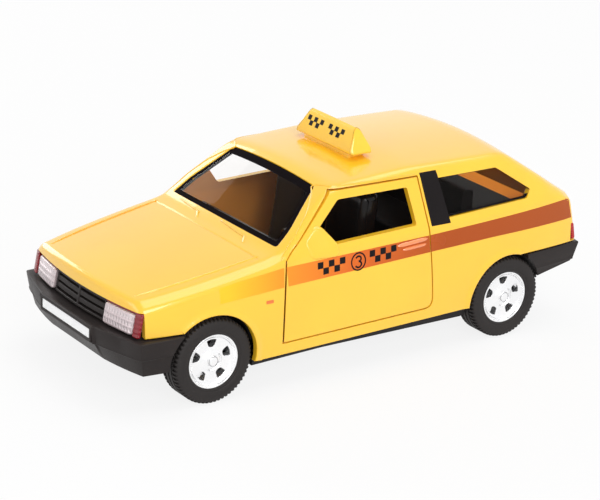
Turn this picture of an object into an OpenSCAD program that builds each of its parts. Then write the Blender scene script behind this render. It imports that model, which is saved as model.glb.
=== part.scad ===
/* [Overall] */
// Distance between the two axles
wheelbase = 70; // [68:0.5:73]
// Reach of the front bumper ahead of the front axle
front_reach = 19.5; // [19:0.25:20.5]
// Reach of the rear bumper behind the rear axle
rear_reach = 20.5; // [20:0.25:21.25]
// Width of the painted body at its fullest
body_w = 45.2; // [44.6:0.2:46.4]
// Thickness of the cast body and door walls
wall = 1.1; // [0.95:0.05:1.2]
// Height of the sill under the front axle
sill_z = 6.5; // [6.3:0.1:6.8]
// Height of the fullest line along the sides
waist_z = 15.5; // [14.5:0.25:16.5]
// Height of the belt line at the front axle
belt_z = 25.4; // [25:0.1:26]
// Height of the roof's side edges
roof_z = 38.1; // [37.5:0.1:39]
// Rise of the roof's middle above its edges
roof_crown = 1.2; // [0.9:0.1:1.5]

/* [Bonnet, screens and tail] */
// From the front axle to the bonnet's front corners
nose_overhang = 14.4; // [13.9:0.1:14.8]
// Height of the bonnet's front corners
nose_z = 21.6; // [21.3:0.1:22.2]
// Forward bow of the nose between its corners
nose_bow = 2.2; // [1.6:0.1:2.5]
// From the front axle back to the foot of the windscreen
cowl_setback = 14.7; // [14.2:0.1:15.2]
// Height of the foot of the windscreen
cowl_z = 26.6; // [26.2:0.1:27]
// Level run of the windscreen
screen_run = 13.2; // [12.6:0.1:13.8]
// Height of the windscreen's top corners
screen_top_z = 37; // [36.5:0.1:37.4]
// From the rear axle back to the roof's rear edge
roof_overhang = 0.4; // [0:0.1:1]
// Height of the roof's rear edge
roof_rear_z = 37.8; // [37.4:0.1:38.2]
// From the rear axle back to the tail's top corners
tail_overhang = 17.5; // [17.2:0.1:17.8]
// Height of the tail's top corners
tail_z = 26.9; // [26.4:0.1:27.4]
// Rearward bow of the tail between its corners
tail_bow = 1.2; // [0.9:0.1:1.4]

/* [Wheels] */
// Diameter of the tyres
tyre_d = 16.9; // [16.4:0.1:17.2]
// Width of the tyres
tyre_w = 5.6; // [5.2:0.1:6]
// Distance across the tyres' outer faces
track_w = 44.4; // [44:0.2:45]
// Diameter of the rims
rim_d = 10.9; // [10.2:0.1:11.4]
// Number of holes in each rim
rim_holes = 5; // [4:1:7]
// Diameter of the holes in the rims
rim_hole_d = 2.3; // [1.8:0.1:2.6]
// Diameter of the axles
axle_d = 2; // [1.8:0.1:2.2]
// Radius of the body's wheel arches
arch_r = 9.3; // [9.2:0.1:9.6]

/* [Doors] */
// From the front axle back to the doors' front edge
door_setback = 15; // [14.8:0.1:15.4]
// Length of the doors along their lower edge
door_l = 36.1; // [35:0.1:36.6]
// Height of the doors' lower edge under the front axle
door_low_z = 8.7; // [8.6:0.05:9]
// Height of the doors' top edge
door_top_z = 36.7; // [36.4:0.1:36.9]
// Gap round the doors
door_gap = 0.3; // [0.25:0.05:0.4]
// Diameter of the hinge pins
hinge_pin_d = 0.9; // [0.8:0.05:1]

/* [Roof sign] */
// Width of the roof sign across the roof
sign_w = 19.6; // [18.6:0.2:20.6]
// Length of the roof sign along the roof
sign_l = 5; // [4.8:0.1:5.4]
// Height of the roof sign above its foot
sign_h = 4.9; // [4.6:0.1:5.2]
// Height of the sign's foot
sign_foot_h = 0.5; // [0.4:0.05:0.7]

/* [Pull-back motor] */
// Gear module
gear_module = 0.4; // [0.38:0.01:0.42]
// Teeth on the rear axle's gear
axle_teeth = 14; // [12:1:15]
// Teeth on the idler's large wheel
idler_teeth = 22; // [20:1:23]
// Teeth on the idler's pinion
pinion_teeth = 10; // [10:1:11]
// Teeth on the spring's gear
spring_teeth = 26; // [24:1:27]

/* [Hidden] */
$fn = 48;
overrun = 1;
touch_gap = 0.1;
running_gap = 0.05;

// Colours
taxi_yellow = "#f7c52d";
trim_black = "#2b2927";
tyre_black = "#1d1c1b";
clear_glass = "#cfe3ea80";
steel = "#b9bcc0";
lamp_clear = "#eadfdccc";
lamp_amber = "#8c1923";
lamp_red = "#b3201f";
plate_white = "#e9e6df";
cabin_black = "#191817";
sign_yellow = "#ffe07a";
motor_blue = "#33475f";
gear_white = "#e8e4d8";
spring_steel = "#6d747c";

// Main lines along the body
half_l = (wheelbase + front_reach + rear_reach)/2;
front_axle_x = half_l - front_reach;
rear_axle_x = front_axle_x - wheelbase;
axle_z = tyre_d/2;
nose_x = front_axle_x + nose_overhang;
cowl_x = front_axle_x - cowl_setback;
screen_top_x = cowl_x - screen_run;
roof_rear_x = rear_axle_x - roof_overhang;
tail_x = rear_axle_x - tail_overhang;
roof_peak_share = 0.45;
roof_peak_x = screen_top_x + (roof_rear_x - screen_top_x)*roof_peak_share;
body_l = nose_x - tail_x;
middle_x = (nose_x + tail_x)/2;
bonnet_crown = 0.7;
roof_line = [
    [tail_x, tail_z], [roof_rear_x, roof_rear_z], [roof_peak_x, roof_z],
    [screen_top_x, screen_top_z], [cowl_x, cowl_z], [nose_x, nose_z]
];
crown_line = [
    [tail_x, bonnet_crown], [roof_rear_x, roof_crown], [screen_top_x, roof_crown],
    [cowl_x, bonnet_crown], [nose_x, bonnet_crown]
];

// Body section
rake_share = 0.024;
nose_taper = 4;
tail_taper = 2.7;
taper_power = 5;
profile_blend = 1.8;
sill_tuck = 0.5;
belt_tuck = 0.6;
shoulder_h = 1.2;
shoulder_in = 1.3;
shoulder_blend_h = 3;
lean_share = 0.37;
nose_lean_share = 0.18;
tail_lean_share = 0.19;
belt_inset_share = 0.5;
belt_r = 0.6;
bonnet_edge_r = 0.9;
roof_edge_r = 2.2;
end_r = 0.9;
belt_steps = 2;
edge_steps = 4;
fillet_limit_share = 0.45;
low_side_shares = [0, 0.35, 0.7];
high_side_shares = [0, 0.35, 0.7];
top_shares = [0.72, 0.48, 0.24, 0];
end_round_shares = [0, 0.12, 0.35, 0.65];

function limited(t) = min(1, max(0, t));
function between(a, b, share) = a + (b - a)*share;
function raked(z, x) = z + rake_share*(front_axle_x - x);
function plan_half_w(x) =
    body_w/2 - (x > 0 ? nose_taper : tail_taper)*pow(abs(x)/half_l, taper_power);
function roof_edge_z(x) =
    (lookup(x - profile_blend, roof_line) + 2*lookup(x, roof_line)
        + lookup(x + profile_blend, roof_line))/4;
function bow_at(x) = x > 0 ? nose_bow*x/nose_x : -tail_bow*x/tail_x;
function lean_at(x, z) =
    x > front_axle_x
    ? nose_lean_share*max(0, nose_z - z)*limited((x - front_axle_x)/nose_overhang)
    : -tail_lean_share*max(0, tail_z - z)*limited((rear_axle_x - x)/tail_overhang);
// A point of the body at station x, carried out by the bow and lean of its ends
function placed(x, y, z) =
    [x + bow_at(x)*(1 - pow(y/plan_half_w(x), 2)) + lean_at(x, z), y, z];
function curve(a, b, c, steps) =
    [for (i = [0:steps]) let(t = i/steps) (1 - t)*(1 - t)*a + 2*t*(1 - t)*b + t*t*c];
function toward(a, b, d) = a + (b - a)*min(d/norm(b - a), fillet_limit_share);
function rounded(a, b, c, r, steps) = curve(toward(b, a, r), b, toward(b, c, r), steps);
function belt_point(x, inset) = [
    plan_half_w(x) - inset - belt_tuck,
    min(raked(belt_z, x), roof_edge_z(x) - shoulder_h) - inset*belt_inset_share
];
function greenhouse_share(rise) = limited((rise - shoulder_h)/shoulder_blend_h);
function edge_point(x, inset) =
    let(b = belt_point(x, inset),
        z = roof_edge_z(x) - inset,
        rise = z - b[1])
    [b[0] - shoulder_in*(1 - greenhouse_share(rise)) - lean_share*rise, z];
// A station moved towards the middle, so that end walls are as thick as the sides
function inset_x(x, inset) = middle_x + (x - middle_x)*(body_l - 2*inset)/body_l;
function side_point(x, z, inset) =
    let(b = belt_point(x, inset))
    [x, b[0] - lean_share*(z - b[1]), z];
function top_point(station, share, inset) =
    let(x = inset_x(station, inset), e = edge_point(x, inset))
    placed(x, e[0]*share, e[1] + lookup(x, crown_line)*(1 - share*share));
function half_section(x, inset, low_z) =
    let(w = plan_half_w(x) - inset,
        b = belt_point(x, inset),
        e = edge_point(x, inset),
        crown = lookup(x, crown_line),
        top = [for (s = top_shares) [e[0]*s, e[1] + crown*(1 - s*s)]],
        edge_r = between(bonnet_edge_r, roof_edge_r, greenhouse_share(e[1] - b[1])))
    concat(
        [for (s = low_side_shares)
            [w - sill_tuck*pow(1 - s, 2), between(low_z, waist_z, s)]],
        [for (s = high_side_shares)
            [w - belt_tuck*s*s, between(waist_z, b[1], s)]],
        rounded([w, waist_z], b, e, belt_r, belt_steps),
        rounded(b, e, top[0], edge_r, edge_steps),
        top);
function body_ring(x, inset, low_z) =
    let(half = half_section(x, inset, low_z))
    [for (p = half) placed(x, p[0], p[1]),
        for (i = [len(half) - 2:-1:0]) placed(x, -half[i][0], half[i][1])];

// Stations along the body, each with the extra inset that rounds the ends
station_keys = [
    nose_x - end_r, cowl_x + profile_blend, cowl_x, cowl_x - profile_blend,
    screen_top_x + profile_blend, screen_top_x, screen_top_x - profile_blend,
    roof_rear_x + profile_blend, roof_rear_x, roof_rear_x - profile_blend, tail_x + end_r
];
station_steps = [6, 1, 1, 3, 1, 1, 6, 1, 1, 4];
stations = concat(
    [for (s = end_round_shares) [nose_x - end_r*s, end_r*(1 - sqrt(1 - pow(1 - s, 2)))]],
    [for (i = [0:len(station_steps) - 1]) for (j = [0:station_steps[i] - 1])
        [between(station_keys[i], station_keys[i + 1], j/station_steps[i]), 0]],
    [for (i = [len(end_round_shares):-1:0])
        let(s = i == len(end_round_shares) ? 1 : end_round_shares[i])
        [tail_x + end_r*s, end_r*(1 - sqrt(1 - pow(1 - s, 2)))]]);

// A closed skin through rings with equal numbers of points
module skin(rings) {
    n = len(rings[0]);
    last = (len(rings) - 1)*n;
    pairs = ceil(n/2) - 2;
    polyhedron(
        points = [for (ring = rings) each ring],
        faces = concat(
            [for (i = [0:len(rings) - 2]) for (j = [0:n - 1])
                let(a = i*n + j, b = i*n + (j + 1)%n) each [[a, b, b + n], [a, b + n, a + n]]],
            [for (j = [0:pairs]) [j, n - 1 - j, n - 2 - j]],
            [for (j = [0:pairs]) if (j + 1 != n - 2 - j) [j, n - 2 - j, j + 1]],
            [for (j = [0:pairs]) [last + j, last + n - 2 - j, last + n - 1 - j]],
            [for (j = [0:pairs]) if (j + 1 != n - 2 - j)
                [last + j, last + j + 1, last + n - 2 - j]]));
}

module body_form(inset, drop) {
    skin([for (s = stations)
        let(x = inset_x(s[0], inset))
        body_ring(x, s[1] + inset, raked(sill_z, x) - drop)]);
}

// The solid that wraps a set of points
module wrap(points) {
    hull()
        polyhedron(points = points, faces = [[for (i = [0:len(points) - 1]) i]]);
}

// A panel of the roof, bonnet or screens between two stations and two depths
module top_panel(x0, x1, share0, share1, outer, inner, strips) {
    for (i = [0:strips - 1])
        wrap([for (k = [i, i + 1]) let(s = 2*k/strips - 1)
            for (depth = [outer, inner])
                each [top_point(x0, share0*s, depth), top_point(x1, share1*s, depth)]]);
}

// An outline in side view, pushed out through the left side
module left_cut(points) {
    rotate([90, 0, 0])
        translate([0, 0, -body_w])
            linear_extrude(body_w - side_cut_y)
                polygon(points);
}

module both_sides() {
    children();
    mirror([0, 1, 0])
        children();
}

// Screens and side windows
side_cut_depth = 10.6;
side_cut_y = body_w/2 - side_cut_depth;
screen_foot_margin = 0.8;
screen_head_margin = 1;
rear_head_margin = 2.4;
rear_foot_margin = 3.4;
screen_low_x = cowl_x - screen_foot_margin;
screen_high_x = screen_top_x + screen_head_margin;
screen_low_share = 0.92;
screen_high_share = 0.78;
rear_high_x = roof_rear_x - rear_head_margin;
rear_low_x = tail_x + rear_foot_margin;
rear_high_share = 0.78;
rear_low_share = 0.8;
screen_strips = 6;
glass_gap = 0.15;
glass_sink = 0.2;
glass_t = 0.5;
glass_lap = 0.9;
glass_bridge_share = 0.7;
pillar_w = 4.3;
quarter_low_z = 26.7;
quarter_high_z = 35.6;
quarter_mid_z = 30.3;
quarter_heel_z = 28.7;
quarter_top_l = 15.2;
quarter_l = 22.2;
quarter_heel_l = 21;

// Doors
door_front_x = front_axle_x - door_setback;
door_shoulder_z = 25.3;
door_slope_run = 12.7;
door_top_l = 33.4;
door_belt_l = 34.4;
door_corner_r = 2;
door_reach = 3;
door_low_rear_x = door_front_x - door_l;
door_belt_rear_x = door_front_x - door_belt_l;
door_top_rear_x = door_front_x - door_top_l;
door_top_front_x = door_front_x - door_slope_run;
door_window_low_z = 26.5;
door_window_high_z = 34.9;
door_frame_w = 3;
door_sail_w = 8.8;
door_sail_l = 3.4;
door_sail_h = 3.4;
door_pillar_w = 1.3;
window_top_front_x = door_top_front_x - door_pillar_w;
window_low_front_x = door_front_x - door_sail_w;
quarter_front_x = door_belt_rear_x - pillar_w;
quarter_lean = 1.2;

function door_points(grow) =
    let(x_low = door_low_rear_x - grow,
        z_low_rear = raked(door_low_z, door_low_rear_x) - grow,
        x_belt = door_belt_rear_x - grow,
        z_belt = raked(belt_z, door_belt_rear_x),
        z_low = raked(door_low_z, door_front_x) - grow,
        x_top = door_top_rear_x - grow,
        z_top = door_top_z + grow)
    concat(
        [[door_front_x + door_reach, z_low],
            [door_front_x + door_reach, door_shoulder_z],
            [door_front_x + grow, door_shoulder_z],
            [door_top_front_x + grow, z_top],
            [x_top, z_top],
            [x_belt, z_belt]],
        rounded([x_belt, z_belt], [x_low, z_low_rear], [door_front_x, z_low], door_corner_r, edge_steps));
door_window_points = [
    [window_top_front_x, door_window_high_z],
    [door_top_rear_x + door_frame_w, door_window_high_z],
    [door_belt_rear_x + door_frame_w, raked(door_window_low_z, door_belt_rear_x)],
    [window_low_front_x - door_sail_l, raked(door_window_low_z, window_low_front_x)],
    [window_low_front_x, raked(door_window_low_z, window_low_front_x) + door_sail_h]
];
function quarter_points(grow) = [
    [quarter_front_x + quarter_lean + grow, quarter_high_z + grow],
    [quarter_front_x + quarter_lean - quarter_top_l, quarter_high_z + grow],
    [quarter_front_x - quarter_l - grow, quarter_mid_z + grow],
    [quarter_front_x - quarter_heel_l - grow, quarter_heel_z - grow],
    [quarter_front_x + grow, raked(quarter_low_z, quarter_front_x) - grow]
];

mirror_lead = 6.8;
mirror_foot_l = 1;
mirror_low_z = 25;
mirror_mid_z = 28.3;
mirror_top_z = 30.8;
mirror_rear_z = 27.3;
mirror_top_l = 1.6;
mirror_front_run = 2.2;
mirror_out = 1.9;
mirror_face_share = 0.72;
mirror_back_x = window_low_front_x - door_sail_l;
mirror_front_x = mirror_back_x + mirror_lead;
mirror_x = (mirror_back_x + mirror_front_x)/2;
mirror_z = (mirror_low_z + mirror_top_z)/2;
mirror_points = [
    [mirror_back_x, mirror_low_z], [mirror_front_x - mirror_foot_l, mirror_low_z],
    [mirror_front_x, mirror_mid_z],
    [mirror_front_x - mirror_front_run, mirror_top_z],
    [mirror_front_x - mirror_front_run - mirror_top_l, mirror_top_z],
    [mirror_back_x, mirror_rear_z]
];
handle_back = 4.6;
handle_l = 8;
handle_r = 0.35;
handle_z = 23.5;
handle_out = 0.3;
handle_segments = 6;

// Door hinges: an upright pin ahead of each door, inside the fender
hinge_lead = 3.9;
hinge_inset = 2.5;
hinge_x = door_front_x + hinge_lead;
hinge_y = plan_half_w(hinge_x) - hinge_inset;
hinge_pin_r = hinge_pin_d/2;
hinge_wall = 0.4;
hub_r = hinge_pin_r + running_gap + hinge_wall;
lug_r = hub_r + touch_gap;
lug_h = 1.4;
lug_gap = 0.3;
hub_low_z = 12.9;
hub_h = 6.6;
lug_low_z = hub_low_z - lug_gap - lug_h;
lug_high_z = hub_low_z + hub_h + lug_gap;
shut_r = norm([hinge_lead, plan_half_w(door_front_x) - hinge_y]);
arm_inner_r = shut_r + door_gap;
arm_t = 1;
arm_outer_r = arm_inner_r + arm_t;
arm_angle = 235;
arm_h = 4.8;
door_inner_y = plan_half_w(door_front_x) - wall - hinge_y;
arm_end_angle = 180 - asin((door_inner_y - touch_gap)/arm_outer_r);
bracket_t = 0.9;
bracket_gap = 0.3;

// Wheel arches and lower edges of the body
arch_lip_w = 0.9;
arch_lip_out = 0.25;
arch_depth = 5;
nose_low_z = 15.2;
tail_low_z = 17.3;
nose_open_z = 19.95;
nose_corner_w = 4.2;
nose_open_y = body_w/2 - nose_corner_w;
nose_wrap = 0.3;

// Number plates
plate_t = 0.35;
plate_w = 18;
plate_h = 1.8;
plate_room = 0.25;
plate_pocket = 0.5;
front_plate_z = 12.3;
rear_plate_z = 14.6;

// Front bumper
bumper_t = 1.6;
bumper_top_z = 14.9;
bumper_low_z = 8;
bumper_band_h = 3.5;
bumper_band_lean = 0.5;
valance_setback = 2.8;
valance_corner_in = 1.3;
valance_side_in = 0.5;
valance_bulge = 0.5;
bumper_floor_t = 1.2;
bumper_sweep = 3.6;
bumper_corner_in = 0.4;
bumper_corner_x = front_axle_x + front_reach - bumper_sweep;
bumper_side_y = body_w/2 - touch_gap;
bumper_corner_y = bumper_side_y - bumper_corner_in;
bumper_flat_y = 9.6;
bumper_face_x = front_axle_x + front_reach;
bumper_bulge = 0.9;
bumper_end_setback = 3.6;
bumper_end_x = front_axle_x + bumper_end_setback;
deck_setback = 6;
bumper_floor_x = front_axle_x + deck_setback;
bumper_floor_y = 14;
// Rear bumper
rear_bumper_top_z = 17;
rear_bumper_low_z = 11;
rear_bumper_rise = 2;
rear_band_z = 13.2;
rear_sweep = 0.7;
rear_corner_in = 1.6;
rear_corner_x = rear_axle_x - rear_reach + rear_sweep;
rear_side_y = body_w/2 - touch_gap;
rear_corner_y = rear_side_y - rear_corner_in;
rear_curve_w = 7.6;
rear_flat_y = body_w/2 - rear_curve_w;
rear_bulge = 0.3;
rear_lean = 1;
rear_low_lean = 1.4;
rear_side_in_share = 0.35;
rear_face_x = rear_axle_x - rear_reach;
rear_end_setback = 5;
rear_end_x = rear_axle_x - rear_end_setback;
rear_deck_setback = 8;
rear_floor_x = rear_axle_x - rear_deck_setback;
// Nose lamps and grille
lamp_low_z = 15.25;
lamp_high_z = 19.85;
grille_half_w = 9.2;
lamp_gap = 0.12;
headlamp_margin = 4.4;
headlamp_end_y = body_w/2 - headlamp_margin;
indicator_margin = 2.6;
indicator_end_y = body_w/2 - indicator_margin;
indicator_depth = 0.5;
indicator_sink = 0.1;
lamp_depth = 2.2;
lamp_sink = 0.3;
grille_sink = 0.7;
carrier_t = 0.8;
carrier_lap_share = 0.5;
grille_slots = 4;
slot_depth = 0.7;
slot_share = 0.55;
lamp_columns = 4;
// Tail lamps
tail_lamp_low_z = 17.4;
tail_lamp_high_z = 21.1;
tail_lamp_in_y = 11.5;
tail_corner_w = 4.2;
tail_lamp_open_y = body_w/2 - tail_corner_w;
tail_lamp_margin = 2.2;
tail_lamp_end_y = body_w/2 - tail_lamp_margin;
tail_lamp_depth = 0.9;
tail_lamp_sink = 0.1;

// Chassis
chassis_z = 4.4;
chassis_t = 1.8;
chassis_top_z = chassis_z + chassis_t;
spine_half_w = 13.4;
wing_margin = 4;
wing_half_w = body_w/2 - wing_margin;
wing_drop = 0.4;
lip_t = 0.5;
rail_margin = 1.3;
rail_half_w = body_w/2 - rail_margin;
rail_front_h = 1.15;
rail_rear_h = 0.5;
flange_t = 0.8;
flange_h = 2.6;
flange_margin = 2.4;
flange_half_w = body_w/2 - flange_margin;
rail_t = rail_half_w - flange_half_w + flange_t/2;
well_gap = 0.9;
well_r = tyre_d/2 + well_gap;
well_y = track_w/2 - tyre_w - well_gap;
pad_t = 0.5;
pad_l = 26;
pad_w = 16;
pad_x = 4;
saddle_y = 9.5;
saddle_t = 3;
saddle_l = 5;
saddle_top = 2.6;
deck_l = 7;
deck_t = 2.1;
deck_lap = 2;
deck_back_x = front_axle_x + deck_setback;
deck_front_x = deck_back_x + deck_l;
deck_half_w = 12.5;
rear_deck_l = 8;
rear_deck_t = 3.5;
rear_deck_front_x = rear_axle_x - rear_deck_setback;
rear_deck_x = rear_deck_front_x - rear_deck_l;
rear_deck_half_w = 11.5;
// Screws
screw_r = 0.8;
screw_head_r = 1.7;
screw_head_h = 1.1;
screw_l = 10;
screw_clear = 0.15;
screw_slot_w = 0.5;
screw_slot_h = 0.5;
post_r = 2;
front_screw_x = (deck_front_x + deck_back_x)/2;
rear_screw_inset = 2.5;
rear_screw_x = rear_deck_x + rear_screw_inset;
screw_sink = 1.3;
front_seat_z = bumper_low_z - deck_t + screw_sink;
rear_seat_z = rear_band_z - rear_deck_t + screw_sink;
front_post_z = bumper_low_z + bumper_floor_t;
rear_post_z = rear_band_z + bumper_floor_t;
rear_post_top_z = 23.5;
rib_t = 1.2;

// Wheels
wheel_face_y = track_w/2;
rim_r = rim_d/2;
axle_r = axle_d/2;
rim_w = 4.6;
rim_sink = 0.35;
rim_lip_t = 0.6;
rim_disc_t = 1.4;
rim_disc_sink = 1;
rim_hub_r = 1.9;
rim_hub_out = 0.5;
rim_hole_share = 0.62;
tread_depth = 0.35;
tread_groove_w = 0.5;
tyre_shoulder = 0.6;
tyre_bulge = 0.3;
tread_groove_shares = [-0.22, 0.22];

// Motor
pressure_angle = 25;
addendum_share = 0.8;
dedendum_share = 1.1;
backlash = 0.05;
flank_steps = 4;
gear_t = 1.6;
gear_gap = 0.3;
idler_angle = 24;
spring_angle = -4;
idler_distance = gear_module*(axle_teeth + idler_teeth)/2;
spring_distance = gear_module*(pinion_teeth + spring_teeth)/2;
idler_x = rear_axle_x + idler_distance*cos(idler_angle);
idler_z = axle_z + idler_distance*sin(idler_angle);
spring_x = idler_x + spring_distance*cos(spring_angle);
spring_z = idler_z + spring_distance*sin(spring_angle);
gear_left_y = gear_gap;
gear_right_y = -gear_gap - gear_t;
idler_phase = idler_angle + 180 - 180/idler_teeth;
pinion_phase = spring_angle;
spring_phase = spring_angle + 180 - 180/spring_teeth;
idler_shaft_r = 0.5;
arbor_r = 0.8;
case_half_w = 6.3;
case_wall = 0.8;
case_room = 0.5;
spring_out_r = gear_module*(spring_teeth/2 + addendum_share);
axle_gear_r = gear_module*(axle_teeth/2 + addendum_share);
case_back_x = rear_axle_x - axle_gear_r - case_room - case_wall;
case_front_x = spring_x + spring_out_r + case_room + case_wall;
case_low_z = min(axle_z - axle_gear_r, spring_z - spring_out_r) - case_room - case_wall;
case_top_z = max(spring_z, idler_z) + spring_out_r + case_room + case_wall;
case_step = 0.7;
mainspring_t = 0.25;
mainspring_turns = 5;
mainspring_w = 2.6;
mainspring_gap = 0.3;
mainspring_room = 0.9;
mainspring_in_r = arbor_r + mainspring_gap;
mainspring_out_r = spring_out_r - mainspring_room;
mainspring_steps = 20;

// Cabin
tub_t = 0.8;
tub_margin = 3.4;
tub_half_w = body_w/2 - tub_margin;
firewall_lead = 0.6;
tub_front_x = cowl_x + firewall_lead;
firewall_margin = 8.4;
firewall_half_w = body_w/2 - firewall_margin;
firewall_top_z = 20.5;
tub_gap = 0.3;
platform_z = case_top_z + tub_gap;
platform_margin = 0.4;
platform_half_w = tub_half_w - platform_margin;
riser_x = case_front_x + tub_gap;
shelf_z = 25.6;
shelf_reach = 10.5;
shelf_back_x = rear_axle_x - shelf_reach;
shelf_margin = 2.7;
shelf_half_w = tub_half_w - shelf_margin;
seat_y = 9;
seat_w = 12;
seat_base_h = 7.6;
seat_cushion_l = 13;
seat_foot_room = 5.4;
seat_back_x = riser_x + tub_t + tub_gap + seat_foot_room;
seat_back_t = 4.6;
seat_back_h = 26.2;
seat_rake = 2.2;
bench_margin = 4.2;
bench_half_w = tub_half_w - bench_margin;
bench_l = 11;
bench_h = 3.2;
bench_back_h = 11;
bench_back_t = 3.4;
bench_setback = 13;
bench_back_x = riser_x - bench_setback;
dash_setback = 1.4;
dash_l = 7.2;
dash_front_x = cowl_x - dash_setback;
dash_back_x = dash_front_x - dash_l;
dash_low_z = 15.5;
dash_top_z = 24.4;
dash_wide_z = 21.8;
dash_margin = 4.4;
dash_half_w = body_w/2 - dash_margin;
dash_low_margin = 4.2;
dash_low_half_w = dash_half_w - dash_low_margin;
wheel_rim_r = 3.3;
wheel_tube_r = 0.42;
wheel_tilt = 62;
wheel_reach = 3.4;
wheel_hub_r = 0.8;
wheel_z = 21.6;
column_r = 0.55;
column_root = 1.4;

// Roof sign
sign_setback = 13.1;
sign_x = screen_top_x - sign_setback;
sign_end_lean = 2;
sign_foot_w = 15.6;
sign_foot_l = 3.8;
sign_seat_z = roof_crown + max(
    roof_edge_z(sign_x - sign_foot_l/2), roof_edge_z(sign_x + sign_foot_l/2),
    roof_edge_z(sign_x - sign_l/2) - sign_foot_h, roof_edge_z(sign_x + sign_l/2) - sign_foot_h);
sign_peg_r = 0.7;
sign_peg_y = 5.5;
sign_top_r = 1.1;
sign_low_h = 0.9;
sign_top_steps = 8;

module body_shell() {
    color(taxi_yellow)
        difference() {
            union() {
                difference() {
                    body_form(0, 0);
                    body_form(wall, overrun);
                }
                both_sides() {
                    arch_lip(front_axle_x);
                    arch_lip(rear_axle_x);
                }
                screw_posts();
            }
            both_sides() {
                left_door_opening();
                left_cut(quarter_points(0));
                arch_cut(front_axle_x);
                arch_cut(rear_axle_x);
                left_tail_lamp_opening();
            }
            top_panel(screen_low_x, screen_high_x, screen_low_share, screen_high_share,
                -overrun, wall + overrun, screen_strips);
            top_panel(rear_high_x, rear_low_x, rear_high_share, rear_low_share,
                -overrun, wall + overrun, screen_strips);
            below_bumpers();
            nose_opening();
            for (y = [-sign_peg_y, sign_peg_y])
                translate([sign_x, y, sign_seat_z - roof_crown - wall - overrun])
                    cylinder(r = sign_peg_r + touch_gap, h = roof_crown + wall + 2*overrun);
            for (screw = [[front_screw_x, front_post_z], [rear_screw_x, rear_post_z]])
                translate([screw[0], 0, screw[1] - overrun])
                    cylinder(r = screw_r + screw_clear, h = screw_l + overrun);
        }
}

// The wall of the door opening keeps an arc round the hinge, so the door's edge can swing past
module left_door_opening() {
    difference() {
        left_cut(door_points(0));
        translate([hinge_x, hinge_y, 0])
            cylinder(r = shut_r, h = door_shoulder_z + overrun);
    }
}

module arch_lip(axle_x) {
    intersection() {
        rotate([-90, 0, 0])
            translate([axle_x, -axle_z, plan_half_w(axle_x) - wall])
                difference() {
                    cylinder(r = arch_r + arch_lip_w, h = wall + arch_lip_out);
                    translate([0, 0, -overrun])
                        cylinder(r = arch_r, h = wall + arch_lip_out + 2*overrun);
                }
        across(0, 2*body_w)
            polygon([for (p = [[2*arch_r, 0], [2*arch_r, roof_z], [-2*arch_r, roof_z], [-2*arch_r, 0]])
                [axle_x + p[0], raked(sill_z, axle_x + p[0]) + p[1]]]);
    }
}

module arch_cut(axle_x) {
    rotate([-90, 0, 0])
        translate([axle_x, -axle_z, plan_half_w(axle_x) - arch_depth])
            cylinder(r = arch_r, h = body_w);
}

// Ahead of the front wheels and behind the rear ones the body stops above the bumpers
module below_bumpers() {
    translate([front_axle_x, -body_w, 0])
        cube([front_reach + overrun, 2*body_w, nose_low_z]);
    translate([rear_axle_x - rear_reach - overrun, -body_w, 0])
        cube([rear_reach + overrun, 2*body_w, tail_low_z]);
}

module nose_opening() {
    translate([nose_x - wall - overrun, -nose_open_y, nose_low_z - overrun])
        cube([front_reach, 2*nose_open_y, nose_open_z - nose_low_z + overrun]);
    translate([nose_x - nose_wrap, -body_w, nose_low_z - overrun])
        cube([front_reach, 2*body_w, nose_open_z - nose_low_z + overrun]);
}

module left_tail_lamp_opening() {
    translate([tail_x - rear_reach, tail_lamp_in_y, tail_lamp_low_z])
        cube([rear_reach + wall, tail_lamp_open_y - tail_lamp_in_y, tail_lamp_high_z - tail_lamp_low_z]);
    translate([tail_x - rear_reach, tail_lamp_in_y, tail_lamp_low_z])
        cube([rear_reach, body_w, tail_lamp_high_z - tail_lamp_low_z]);
}

module screw_posts() {
    intersection() {
        body_form(wall/2, overrun);
        union() {
            translate([front_screw_x, 0, front_post_z])
                cylinder(r = post_r, h = roof_z);
            translate([rear_screw_x, 0, rear_post_z])
                cylinder(r = post_r, h = rear_post_top_z - rear_post_z);
            translate([rear_screw_x - rear_reach, -rib_t/2, tail_low_z])
                cube([rear_reach, rib_t, rear_post_top_z - tail_low_z]);
        }
    }
}

module window_glazing() {
    flange = wall + touch_gap;
    color(clear_glass) {
        top_panel(screen_low_x - glass_gap, screen_high_x + glass_gap,
            screen_low_share - 2*glass_gap/body_w, screen_high_share - 2*glass_gap/body_w,
            glass_sink, flange + glass_t, screen_strips);
        top_panel(rear_high_x - glass_gap, rear_low_x + glass_gap,
            rear_high_share - 2*glass_gap/body_w, rear_low_share - 2*glass_gap/body_w,
            glass_sink, flange + glass_t, screen_strips);
        roof_stations = [
            screen_high_x + glass_gap, screen_top_x, screen_top_x - profile_blend,
            roof_peak_x, roof_rear_x + profile_blend, roof_rear_x, rear_high_x - glass_gap
        ];
        for (i = [0:len(roof_stations) - 2])
            top_panel(roof_stations[i], roof_stations[i + 1], screen_high_share,
                screen_high_share, flange, flange + glass_t, screen_strips);
        both_sides()
            left_quarter_glass(flange);
    }
}

module left_quarter_glass(flange) {
    plug = quarter_points(-glass_gap);
    wide = quarter_points(glass_lap);
    lap = [[wide[0][0], plug[0][1]], plug[1], plug[2], [plug[3][0], wide[3][1]], wide[4]];
    wrap([for (p = plug) for (depth = [glass_sink, flange + glass_t])
        side_point(p[0], p[1], depth)]);
    wrap([for (p = lap) for (depth = [flange, flange + glass_t]) side_point(p[0], p[1], depth)]);
    wrap([for (p = [plug[0], plug[1]]) for (depth = [flange, flange + glass_t])
        each [side_point(p[0], p[1], depth), top_point(p[0], glass_bridge_share, depth)]]);
}

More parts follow.
